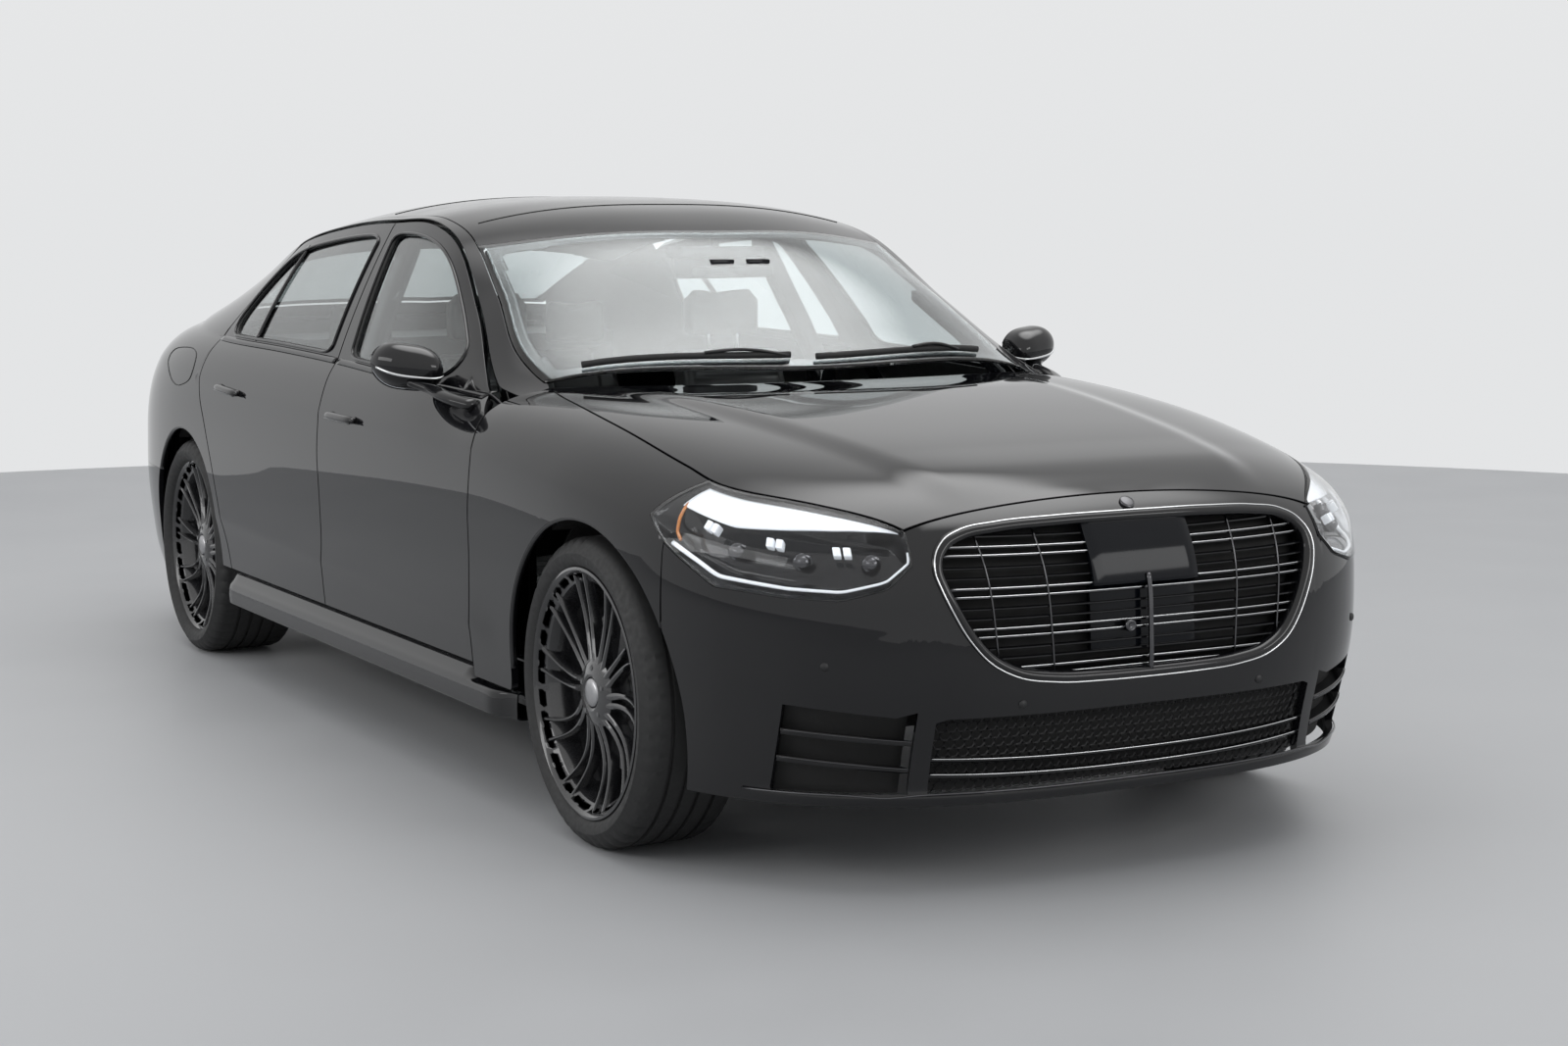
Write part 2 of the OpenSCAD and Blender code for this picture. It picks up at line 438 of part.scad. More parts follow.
// ---- rear quarters, with the C-pillars ----
QTR_B = [[-962, sill_top], [-1000, sill_top], [-1040, sill_top], [-1052, 380], [-1075, 494],
  [-1130, 595], [-1225, 687],
  [-1340, 740], [-1451, 756], [-1562, 740], [-1677, 687], [-1740, 633], [-1774, 592], [-1900, 592],
  [-2050, 592], [-2200, 592], [-2330, 592], [-2420, 592]];
QTR_T = [-1296, -1320, -1350, -1375, -1400, -1425, -1450, -1500, -1560, -1620, -1690, -1760, -1830,
  -1910,
  -2020, -2180, -2320, -2420];
QTR_V = DF_V;
QTR_Z = [1080, 1150, 1243, 1330, 1380];
MID_Z = [[-2420, 960], [-2200, 1010], [-2020, 1050], [-1900, 1066], [-1700, 1072]];
function mid_z(x) = x > -1700 ? belt_z(x) : curve(MID_Z, x);
QTR_F = [[1050, -1294], [1080, -1294], [1150, -1258], [1243, -1204], [1330, -1135], [1380, -1113]];
function q_low(i, j) = let(v = QTR_V[i], n = len(QTR_B) - 1, u = j / n,
  z = lerp(QTR_B[j][1], j == 0 ? belt_z(-1284) : mid_z(QTR_T[j]), v),
  z0 = lerp(sill_top, belt_z(-1284), v),
  k = pow(1 - u, 8),
  x = lerp(QTR_B[j][0], QTR_T[j], v)
    + k * (curve(REAR_SHUT, z0) - half_gap(REAR_SHUT, z0) - lerp(QTR_B[0][0], QTR_T[0], v)))
  [x, side(x, z), z];
// The edge between the quarter and the rear window or the boot lid
function q_edge(x) = x > -2000 ? [glass_y(x), crown(x, glass_y(x))]
  : let(y = poly([[-2560, 592], [-2400, 607], [-2300, 634], [-2200, 642], [-2000, 648]], x))
    [y, top(x, y)];
function q_top(i, j) = let(w = (i + 1) / 5, x0 = QTR_T[j], b = mid_z(x0),
  x = j < 7 ? lerp(x0, lerp(-1112, QTR_T[7], j / 7), w) : x0, e = q_edge(x))
  x0 < -2000 ? let(y = lerp(side(x, b), e[0], w)) [x, y, top(x, y)]
  : i == 4 ? [x, e[0], e[1]]
  : j == 0 ? let(z = QTR_Z[i], f = poly(QTR_F, z)) [f, house(f, z), z]
  : let(z = lerp(b, rail_z(x), w / 0.8)) [x, skin_y(x, z), z];
QUARTER = concat([for (i = [0:8]) [for (j = [0:17]) q_low(i, j)]],
  [for (i = [0:4]) [for (j = [0:17]) q_top(i, j)]]);

// ---- the strip between the door frames and the roof, from the windscreen's foot to the C-pillar ----
STRIP_X = [1096, 1062, 1020, 985, 940, 870, 780, 690, 600, 520, 440, 360, 270, 155, 0, -200, -420,
  -650, -850,
  -1000, -1112];
STRIP = [for (c = [0, 0.5, 1]) [for (x = STRIP_X)
  let(o = x > 985 ? lerp(rail_y(985), 785, (x - 985) / 111) : rail_y(x),
  y = lerp(o, x > 1070 ? curve(HOOD_Y, x) + g : glass_y(x), c)) [x, y, crown(x, y)]]];

module side_frames() color([0.08, 0.08, 0.09]) pair() {
  skin_panel(QUARTER, cover_thick, [], [6, 4]);
  skin_panel(STRIP, [3, 16, 30]);
  // sill beam and its ends
  chain([[1110, 760, 285], [0, 770, 285], [-960, 770, 285]], [60, 110, 110]);
  // hinge pillar, B-pillar and the post ahead of the rear wheel
  chain([[1020, 770, 300], [1010, 765, 640], [985, 748, 900]], [60, 60, 60]);
  chain([[985, 748, 900], [960, 765, 960], [800, 730, 1070], [600, 668, 1205]], [46, 30, 30]);
  chain([[-120, 770, 300], [-150, 768, 700], [-165, 765, 960]], [90, 60, 60]);
  chain([[-165, 765, 960], [-205, 668, 1180], [-225, 585, 1360]], [70, 36, 40]);
  chain([[-950, 770, 300], [-972, 770, 430]], [60, 60, 60]);
  // jacking pads
  for (x = [1050, -900]) box(x - 35, x + 35, 735, 805, 205, 235);
}
module sill_skirts() color([0.04, 0.04, 0.04]) pair() {
  hull() {
    box(-985, 1345, 825.4, 900, 232, 300);
    box(-970, 1330, 825.4, 938, 244, 290);
  }
}

// ---- rear bumper cover ----
TAIL_Y = [0, 200, 400, 520, 600, 680, 730, 748, 800, 840];
TAIL_X = [-2260, -2120, -1980, -1820];
function tail_high(y) = poly([[0, 735], [520, 735], [600, 742], [680, 752], [731, 752], [747, 592],
  [900, 592]], y);
function tail_pt(i, j) = let(v = [0, 0.12, 0.28, 0.45, 0.62, 0.82, 1][i])
  j < 10 ? let(y = TAIL_Y[j], z = lerp(205, tail_high(y) - seam, v))
    on_skin([-2600, y, z], [-1700, y, z], 0.4, 1.1)
  : let(z = lerp(225, 592 - seam, v),
      x = j == 13 ? axle_r - sqrt(max(pow(arch_radius, 2) - pow(z - hub_z, 2), 0)) - seam
        : TAIL_X[j - 10]) [x, side(x, z), z];
TAIL_HALF = [for (i = [0:6]) [for (j = [0:13]) tail_pt(i, j)]];
module rear_bumper() color([0.08, 0.08, 0.09]) skin_panel(flip(whole(TAIL_HALF)), cover_thick);

// ---- tail lamps, each between the bumper, the quarter and the boot lid ----
TL_V = [0.01, 0.2, 0.45, 0.7, 0.93];
function tl_outer(v) = let(a = lerp(0, 38, v))
  on_skin([-2420 - seam, 300 + 400 * cos(a), 754 + 400 * sin(a)], [-2420 - seam, 300, 754]);
function tl_inner(v) = let(a = lerp(174.5, 135, v), y = lid_y(a) + g + 8)
  on_skin([-2160 + 400 * cos(a), y, 720 + 400 * sin(a)], [-2160, y, 720]);
TL = [for (v = TL_V) [for (u = [0, 0.25, 0.5, 0.75, 1])
  on_skin(lerp(tl_outer(v), tl_inner(v), u), [-2100, 300, 780])]];
module tail_lamps() color([0.5, 0.05, 0.05]) pair() skin_panel(TL, [26, 26, 24, 18, 8], [], [16, 8]);

// ---- floor, bulkheads and the structure below ----
module floor_pan() color([0.15, 0.15, 0.16]) {
  difference() {
    union() {
      box(-1000, 1180, -715, 715, floor_height, floor_height + 60);
      box(-1000, 1180, -150, 150, floor_height, floor_height + 230);
    }
    box(-1100, 1190, -110, 110, floor_height - 10, floor_height + 190);
  }
  box(-1014, -1000, -715, 715, floor_height, 430);
  box(-2440, -1010, -479.5, 479.5, 400, 430);
}
module bulkheads() color([0.12, 0.12, 0.13]) {
  box(1180.5, 1210, -700, 700, floor_height, 930);
  for (y = [-645, 605]) box(1105, 1185, y, y + 40, 840, 900 - seat_gap);
  box(-1330, -1300, -470, 470, 430.5, 800);
  box(-1330, -1300, -560, 560, 800, 1040);
  box(-1900, -1330, -560, 560, 1010, 1040);
  for (y = [-530, 500]) box(-1965 + seat_gap, -1880, y, y + 30, 1010, 1060);
}
module wheel_liners() color([0.06, 0.06, 0.06]) pair() {
  for (w = [[front_x, 500, 840], [rear_x, 480, 850]]) on_axle(w[0], w[1] * ky) difference() {
    union() {
      cylinder(h = (w[2] - w[1]) * ky, r = 434, $fn = 64);
      intersection() {
        cylinder(h = (895 - w[1]) * ky, r = 434, $fn = 64);
        translate([-250, -500, 0]) cube([450, 500, 500]);
      }
    }
    translate([0, 0, 6]) cylinder(h = 500, r = 426, $fn = 64);
    translate([-500, -20, -10]) cube([1000, 600, 600]);
    cylinder(h = 60, r = 235, center = true, $fn = 64);
  }
}
module engine() color([0.4, 0.4, 0.42]) box(1350, 1990, -290, 290, 330, 820);
module front_frame() color([0.15, 0.15, 0.16]) {
  pair() {
    box(1210.5, 2440, 390, 450, 380, 500);
    box(1640, 1890, 430, 495, 500, 800);
  }
  box(2440.5, 2480, -560, 560, 360, 520);
  box(2380, 2440.1, -380, 380, 250, 700);
}
module front_suspension() color([0.2, 0.2, 0.21]) {
  box(1650, 1900, -470, 470, 300, 329.5);
  pair() {
    box(1735, 1795, 470, 780, 186, 206);
    box(1735, 1795, 440, 470, 186, 300);
    box(1735, 1795, 495.5, 780, 540, 560);
  }
}
module rear_suspension() color([0.2, 0.2, 0.21]) {
  box(-1600, -1300, -440, 440, 300, 399.5);
  pair() {
    box(-1481, -1421, 440, 700, 330, 382);
    box(-1500, -1402, 660, 762, 270, 440);
    translate([rear_x, 730 * ky, wz]) rotate([-90, 0, 0]) cylinder(h = 39.5, r = 40, $fn = 48);
  }
}
module exhaust() color([0.35, 0.33, 0.3]) {
  box(-2380, -1750, -420, -180, 230, 399.5);
  box(-2380, -1750, 180, 420, 230, 399.5);
}

// ---- cabin ----
module dashboard() color([0.07, 0.07, 0.07]) {
  hull() {
    box(960, 1095, -690, 690, 700, 800);
    box(760, 900, -690, 690, 560, 780);
  }
  hull() {
    box(860, 960, -590, 590, 700, 800);
    box(1000, 1172, -590, 590, 560, 925);
  }
}
module centre_console() color([0.07, 0.07, 0.07])
  box(-300, 759.5, -140, 140, floor_height + 230.5, 560);
module seat(x, y, w) {
  hull() {
    box(x, x + 500, y - w / 2, y + w / 2, 330, 430);
    box(x + 20, x + 480, y - w / 2 + 30, y + w / 2 - 30, 310, 460);
  }
  hull() {
    box(x - 60, x + 60, y - w / 2 + 10, y + w / 2 - 10, 400, 480);
    box(x - 260, x - 160, y - w / 2 + 50, y + w / 2 - 50, 1000, 1050);
  }
  hull() {
    box(x - 290, x - 190, y - 130, y + 130, 1070, 1190);
    box(x - 250, x - 220, y - 110, y + 110, 1060, 1230);
  }
  box(x - 240, x - 215, y - 60, y - 40, 1000, 1080);
  box(x - 240, x - 215, y + 40, y + 60, 1000, 1080);
  box(x + 30, x + 470, y - w / 2 + 60, y + w / 2 - 60, floor_height + 60.5, 330);
}
module front_seats() color([0.09, 0.09, 0.1]) pair() seat(110, 390, 480);
module rear_seat() color([0.09, 0.09, 0.1]) {
  hull() {
    box(-1008, -560, -600, 600, 432, 470);
    box(-1008, -540, -580, 580, 440, 500);
  }
  box(-1150, -1000, -468, 468, 432, 500);
  for (y = [-560, 155]) box(-998, -600, y, y + 405, floor_height + 60.5, 440);
  hull() {
    box(-1200, -1060, -468, 468, 440, 520);
    box(-1280, -1200, -468, 468, 760, 800);
  }
  hull() {
    box(-1280, -1180, -560, 560, 796, 850);
    box(-1299.5, -1240, -560, 560, 960, 1005);
  }
  for (y = [-390, 390]) hull() {
    box(-1290, -1220, y - 120, y + 120, 1000, 1150);
    box(-1270, -1240, y - 100, y + 100, 990, 1170);
  }
}
module steering_wheel() color([0.08, 0.08, 0.08]) translate(M([700, 370, 800])) rotate([0, -68, 0]) {
  rotate_extrude($fn = 48) translate([178, 0]) circle(d = 30, $fn = 16);
  translate([0, 0, -12]) cylinder(h = 20, r = 60, $fn = 48);
  for (a = [90, 180, 270]) rotate([0, 0, a]) translate([40, -15, -8]) cube([130, 30, 14]);
  translate([0, 0, -62.8]) cylinder(h = 52, r = 24, $fn = 48);
}

// ---- wheels, tyres and knuckles ----
RIM = [[-121, 285], [-113, 285], [-108, 268], [-80, 262], [-40, 240], [40, 240], [90, 262], [110, 268],
  [115, 285], [121, 285], [121, 278], [112, 258], [92, 246], [60, 228], [-60, 228], [-100, 254],
    [-114, 272],
  [-121, 277]];
function star(n, r0, r1, w0, w1) = [for (k = [0:n - 1])
  for (e = [[r0, -w0], [r1, -w1], [r1, w1], [r0, w0]])
  let(a = 360 * k / n + atan(e[1] / e[0])) [e[0] * cos(a), e[0] * sin(a)]];
module wheel() {
  k = rim_radius / 285;
  rotate_extrude($fn = 96) polygon([for (p = RIM) [p[1] * k, p[0]]]);
  translate([0, 0, 82]) linear_extrude(22) polygon(star(spokes, 70, 256 * k, 9, 6));
  rotate_extrude($fn = 96) polygon([[0, -30], [60, -30], [60, -15], [disc_radius, -15],
    [disc_radius, 19], [82, 19],
    [82, 94], [0, 94]]);
}
function tyre_half(w) = [[rim_radius - 16, 106], [rim_radius + 0.5, 111],
  [rim_radius + 0.5, w / 2 - 10], [rim_radius + 14, w / 2 - 1], [rim_radius + 30, w / 2],
  [tyre_radius - 18, w / 2 - 8], [tyre_radius - 4, w / 2 - 24], [tyre_radius, w / 2 - 50]];
module tyre(w) rotate_extrude($fn = 96) polygon(concat(
  tyre_half(w), [for (k = [7:-1:0]) [tyre_half(w)[k][0], -tyre_half(w)[k][1]]]));
module front_left() on_axle(front_x, front_track_half) children();
module front_right() mirror([0, 1, 0]) front_left() children();
module rear_left() on_axle(rear_x, rear_track_half) children();
module rear_right() mirror([0, 1, 0]) rear_left() children();
module wheel_front_left() color([0.06, 0.06, 0.06]) front_left() wheel();
module wheel_front_right() color([0.06, 0.06, 0.06]) front_right() wheel();
module wheel_rear_left() color([0.06, 0.06, 0.06]) rear_left() wheel();
module wheel_rear_right() color([0.06, 0.06, 0.06]) rear_right() wheel();
module tyre_front_left() color([0.1, 0.1, 0.1]) front_left() tyre(front_tyre_width);
module tyre_front_right() color([0.1, 0.1, 0.1]) front_right() tyre(front_tyre_width);
module tyre_rear_left() color([0.1, 0.1, 0.1]) rear_left() tyre(rear_tyre_width);
module tyre_rear_right() color([0.1, 0.1, 0.1]) rear_right() tyre(rear_tyre_width);
module knuckle() {
  box(1740, 1790, 740, 776, 206.5, 539.5);
  on_axle(front_x, 740) cylinder(h = 44.5, r = 42, $fn = 48);
}
module knuckle_left() color([0.25, 0.25, 0.26]) knuckle();
module knuckle_right() color([0.25, 0.25, 0.26]) mirror([0, 1, 0]) knuckle();

floor_pan();
side_frames();
sill_skirts();
roof();
windscreen();
rear_window();
front_fenders();
front_bumper();
grille();
headlamps();
rear_bumper();
tail_lamps();
wheel_liners();
engine();
front_frame();
front_suspension();
rear_suspension();
exhaust();
bulkheads();
dashboard();
centre_console();
front_seats();
rear_seat();
steering_wheel();
door_front_left();
door_front_right();
door_rear_left();
door_rear_right();
glass_front_left();
glass_front_right();
glass_rear_left();
glass_rear_right();
mirror_left();
mirror_right();
hood();
boot_lid();
knuckle_left();
knuckle_right();
wheel_front_left();
wheel_front_right();
wheel_rear_left();
wheel_rear_right();
tyre_front_left();
tyre_front_right();
tyre_rear_left();
tyre_rear_right();
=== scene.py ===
"""Finishes a long-wheelbase saloon car round its packed parts."""
import math

import bmesh
import bpy
import numpy as np
from mathutils import Matrix, Vector


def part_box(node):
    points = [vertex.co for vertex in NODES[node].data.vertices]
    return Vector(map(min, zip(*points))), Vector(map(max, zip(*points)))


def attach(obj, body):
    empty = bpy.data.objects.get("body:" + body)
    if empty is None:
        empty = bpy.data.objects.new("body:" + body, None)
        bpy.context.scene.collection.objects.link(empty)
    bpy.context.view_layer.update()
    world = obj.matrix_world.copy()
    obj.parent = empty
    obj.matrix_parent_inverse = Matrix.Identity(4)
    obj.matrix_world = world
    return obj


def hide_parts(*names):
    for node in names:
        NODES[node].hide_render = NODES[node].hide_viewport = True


bl_info = {
    "name": "Long saloon car finish",
    "version": (1, 0, 0),
    "blender": (4, 5, 0),
    "location": "View3D > Sidebar > Saloon",
    "description": "Adds the finished panels, glass, lamps, wheels and cabin of a saloon car",
    "category": "Object",
}

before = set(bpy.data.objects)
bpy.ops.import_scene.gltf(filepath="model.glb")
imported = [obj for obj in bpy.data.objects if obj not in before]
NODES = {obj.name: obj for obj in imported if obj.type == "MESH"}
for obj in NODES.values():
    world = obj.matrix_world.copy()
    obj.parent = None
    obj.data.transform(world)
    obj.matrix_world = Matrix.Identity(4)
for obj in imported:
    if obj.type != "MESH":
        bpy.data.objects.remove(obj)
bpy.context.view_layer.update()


# ---- the body's shape, in metres; X forward, Y to the car's left, Z up ----
def mm(*rows):
    return np.array(rows, float) / 1000


NOSE = mm((120, 2560), (200, 2590), (300, 2610), (450, 2645), (560, 2645), (660, 2635), (740, 2605),
          (800, 2565), (850, 2500), (920, 2400), (1200, 2200))
TAIL = mm((200, -2500), (300, -2580), (450, -2635), (560, -2645), (700, -2630), (850, -2600),
          (1000, -2575), (1080, -2560), (1300, -2500))
WIDTH = mm((120, 900), (200, 920), (300, 938), (400, 946), (550, 956), (700, 957), (1300, 957))
CROWN = mm((-2700, 1070), (-2550, 1085), (-2300, 1100), (-2000, 1115), (-1500, 1130), (-800, 1140),
           (0, 1130), (600, 1090), (1000, 1015), (1200, 1005), (1500, 985), (1900, 945), (2200, 905),
           (2400, 870), (2520, 835), (2650, 790))
P_EXP = np.array([(-2.6, 5), (-2.0, 7), (0, 8), (0.6, 9), (1.1, 10), (1.6, 8), (2.0, 6), (2.5, 5)], float)
Q_EXP = np.array([(-2.6, 2.4), (-2.0, 2.6), (0, 2.5), (0.6, 2.7), (1.1, 3), (1.6, 2.6), (2.0, 2.3),
                  (2.5, 2.2)], float)
BELT = mm((-2100, 1095), (-1600, 1070), (-1200, 1055), (-600, 1045), (0, 1030), (500, 1010),
          (1000, 987), (1300, 975))
RAIL_Y = mm((-2100, 640), (-1600, 615), (-1100, 630), (-650, 632), (-200, 638), (155, 643), (350, 660),
            (650, 718), (1000, 805), (1200, 810))
RAIL_Z = mm((-2100, 1108), (-1900, 1155), (-1500, 1268), (-1100, 1368), (-650, 1418), (-200, 1434),
            (155, 1424), (350, 1376), (650, 1200), (1000, 1000), (1300, 950))
CENTRE_Z = mm((-2100, 1113), (-1950, 1165), (-1700, 1262), (-1400, 1372), (-1100, 1446), (-700, 1494),
              (-400, 1503), (-100, 1499), (200, 1481), (450, 1443), (636, 1378), (1000, 1150), (1250, 1000))
PILLAR = mm((-2000, 46), (650, 46), (850, 58), (1000, 85), (1062, 92), (1200, 95))
FRONT_SHUT = mm((300, 1116), (378, 1116), (611, 1139), (706, 1134), (790, 1142), (869, 1138), (946, 1100))
MID_SHUT = mm((300, -25), (390, -30), (540, -6), (670, -17), (758, -28), (918, -40), (1008, -66),
              (1200, -122), (1410, -190))
REAR_SHUT = mm((300, -950), (400, -975), (500, -1022), (600, -1074), (677, -1116), (793, -1185),
               (870, -1250), (950, -1285), (1050, -1290), (1200, -1215), (1340, -1120))
DOOR_HEAD = mm((-1284, 1075), (-1245, 1150), (-1190, 1243), (-1120, 1330), (-1030, 1376))
HOOD_Y = mm((1060, 706), (1200, 738), (1400, 764), (1690, 782), (2000, 780), (2135, 768), (2350, 655),
            (2500, 533))
WAIST = 0.700
SILL = 0.335
LIP = 0.196
GAP = 0.006
HALF = GAP / 2
SEAM = 0.0008
HEAD_GAP = GAP + 0.005
ARCH = 0.400
FRONT_AXLE = 1.765
REAR_AXLE = -1.451
WHEEL_Z = sum(c[2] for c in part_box("wheel_front_left")) / 2
SHIFT = sum(c[0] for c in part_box("wheel_front_left")) / 2 - FRONT_AXLE
SHOULDER = mm((-2300, 985), (-1500, 945), (-915, 905), (190, 886), (1200, 862), (2000, 800))
LOWER_LINE = mm((-1300, 500), (0, 462), (1200, 430))


def curve(points, v):
    """A smooth curve through hand-chosen points, in rising order."""
    x, y = points[:, 0], points[:, 1]
    h = np.diff(x)
    chord = np.diff(y) / h
    inner = (chord[:-1] * h[1:] + chord[1:] * h[:-1]) / (h[1:] + h[:-1])
    m = np.concatenate([chord[:1], inner, chord[-1:]])
    v = np.clip(v, x[0], x[-1])
    i = np.clip(np.searchsorted(x, v, "right") - 1, 0, len(x) - 2)
    t = (v - x[i]) / h[i]
    return ((2 * t**3 - 3 * t**2 + 1) * y[i] + (t**3 - 2 * t**2 + t) * h[i] * m[i]
            + (3 * t**2 - 2 * t**3) * y[i + 1] + (t**3 - t**2) * h[i] * m[i + 1])


def line(points, v):
    """Straight lines through hand-chosen points."""
    p = np.array(points, float)
    return np.interp(v, p[:, 0], p[:, 1])


def lerp(a, b, t):
    return a + (b - a) * t


def ease(t):
    t = np.clip(t, 0, 1)
    return t * t * (3 - 2 * t)


def side(x, z):
    """Half-width of the lower body."""
    u = np.clip((x - 1.1) / (curve(NOSE, z) - 1.1), 0, 1)
    v = np.clip((-1.0 - x) / (-1.0 - curve(TAIL, z)), 0, 1)
    taper = (1 - u**4.6) ** 0.36 * (1 - v**4.6) ** 0.34
    c = curve(CROWN, x)
    t = np.clip((z - WAIST) / (c - WAIST), 0, 1)
    over = (1 - t ** curve(Q_EXP, x)) ** (1 / curve(P_EXP, x))
    return curve(WIDTH, z) * taper * np.where(z > WAIST, over, 1)


def ridge(s, size, above, below):
    """A crease: size at the line, falling away above and below it."""
    return size * np.exp(-(np.sqrt(s * s + 0.004**2) - 0.004) / np.where(s > 0, above, below))


def flank(x, z):
    """The body's side with its shoulder line and the crease above the sill."""
    ends = ease((x + 2.2) / 0.4) * ease((2.0 - x) / 0.4)
    below_top = ease((curve(CROWN, x) - z - 0.02) / 0.09) * ease((np.where(x < 1.05, curve(BELT, x),
            2) - z) / 0.05)
    s = z - curve(SHOULDER, x)
    low = z - curve(LOWER_LINE, x)
    in_doors = ease((x + 1.25) / 0.25) * ease((1.3 - x) / 0.2)
    swell = ridge(s, 0.0055, 0.07, 0.035) * ends * below_top
    return side(x, z) + swell + ridge(low, 0.005, 0.05, 0.035) * in_doors


def house(x, z):
    """Half-width of the glasshouse, from the belt to the roof rail."""
    b = curve(BELT, x)
    t = np.clip((z - b) / np.maximum(curve(RAIL_Z, x) - b, 0.008), 0, 1)
    return lerp(side(x, b), curve(RAIL_Y, x), t) + 0.048 * t * (1 - t)


def crown(x, y):
    """Height of the roof and its windows."""
    r = curve(RAIL_Z, x)
    return r + (curve(CENTRE_Z, x) - r) * (1 - np.minimum(np.abs(y) / curve(RAIL_Y, x), 1) ** 2.6)


def top(x, y):
    """Height of the lower body's skin above a point of the plan."""
    a, b = np.full(np.shape(x + y), WAIST), np.full(np.shape(x + y), 1.2)
    c = curve(CROWN, x)
    for _ in range(26):
        m = (a + b) / 2
        inside = (side(x, np.minimum(m, c + 0.001)) > np.abs(y)) & (m < c)
        a, b = np.where(inside, m, a), np.where(inside, b, m)
    return (a + b) / 2


def on_skin(p, c, near=0.3, far=1.9):
    """The skin met by rays from inner points c through p."""
    p, c = np.broadcast_arrays(np.asarray(p, float), np.asarray(c, float))
    a, b = np.full(p.shape[:-1], near), np.full(p.shape[:-1], far)
    for _ in range(26):
        m = (a + b) / 2
        q = c + (p - c) * m[..., None]
        inside = (q[..., 2] < curve(CROWN, q[..., 0])) & (side(q[..., 0], q[..., 2]) > np.abs(q[..., 1]))
        a, b = np.where(inside, m, a), np.where(inside, b, m)
    return c + (p - c) * a[..., None]


def nose_x(y, z):
    """X of the nose at a point of the front view."""
    p = points(2.6, y, z)
    return on_skin(p, points(1.7, y, z), 0.4, 1.1)[..., 0]


def points(x, y, z):
    return np.stack(np.broadcast_arrays(x, y, z), -1).astype(float)


def steps(n, a=0.0, b=1.0):
    return np.linspace(a, b, n)


def mesh_uv(nu, nv):
    """u along columns and v along rows."""
    return np.meshgrid(steps(nu), steps(nv))


def lifted(P, d):
    """Points pushed along the grid's own normals."""
    n = np.cross(np.gradient(P, axis=1), np.gradient(P, axis=0))
    n /= np.maximum(np.linalg.norm(n, axis=-1, keepdims=True), 1e-9)
    return P + n * np.asarray(d)[..., None]


def half_gap(shut, z):
    slope = (curve(shut, z + 0.005) - curve(shut, z - 0.005)) / 0.01
    return HALF * np.sqrt(1 + slope**2)


# ---- building pieces ----
def finish_object(bm, name, material, body, stands=(), smooth=True):
    mesh = bpy.data.meshes.new(name)
    bm.to_mesh(mesh)
    bm.free()
    for polygon in mesh.polygons:
        polygon.use_smooth = smooth
    obj = bpy.data.objects.new(name, mesh)
    bpy.context.scene.collection.objects.link(obj)
    mesh.materials.append(material)
    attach(obj, body)
    if stands:
        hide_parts(*stands)
    return obj


def thicken(obj, wall, rim=0.0012):
    """A wall inward from the outer face, with rounded edges."""
    if wall:
        m = obj.modifiers.new("wall", "SOLIDIFY")
        m.thickness = wall
        m.offset = -1
        m.use_quality_normals = True
    if rim:
        m = obj.modifiers.new("rim", "BEVEL")
        m.width = rim
        m.segments = 2
        m.limit_method = "ANGLE"
        m.angle_limit = math.radians(38)
        m.harden_normals = True
    return obj


def grid_bmesh(grids, keep=None, outward=None):
    """Grids moved onto points of the car and joined, with the cells that keep leaves out deleted."""
    bm = bmesh.new()
    for P in grids if isinstance(grids, list) else [grids]:
        rows, cols = P.shape[:2]
        before, before_faces = len(bm.verts), len(bm.faces)
        bmesh.ops.create_grid(bm, x_segments=cols - 1, y_segments=rows - 1, size=1)
        bm.verts.ensure_lookup_table()
        bm.faces.ensure_lookup_table()
        for v, p in zip(bm.verts[before:], (P + np.array([SHIFT, 0, 0])).reshape(-1, 3)):
            v.co = p
        new = bm.faces[before_faces:]
        if outward is not None:
            for f in new:
                f.normal_update()
            total = sum((f.normal * f.calc_area() for f in new), Vector())
            if total.dot(Vector(outward)) < 0:
                bmesh.ops.reverse_faces(bm, faces=new)
        if keep is not None:
            gone = [f for f, k in zip(new, keep.ravel()) if not k]
            bmesh.ops.delete(bm, geom=gone, context="FACES")
    bmesh.ops.remove_doubles(bm, verts=bm.verts, dist=2e-5)
    bm.normal_update()
    return bm


def skin(name, P, material, body, outward, wall=0.003, rim=0.0012, keep=None, stands=()):
    obj = finish_object(grid_bmesh(P, keep, outward), name, material, body, stands)
    return thicken(obj, wall, rim)


def sided(P, s):
    return P * np.array([1, s, 1])


SIDES = (("left", 1), ("right", -1))


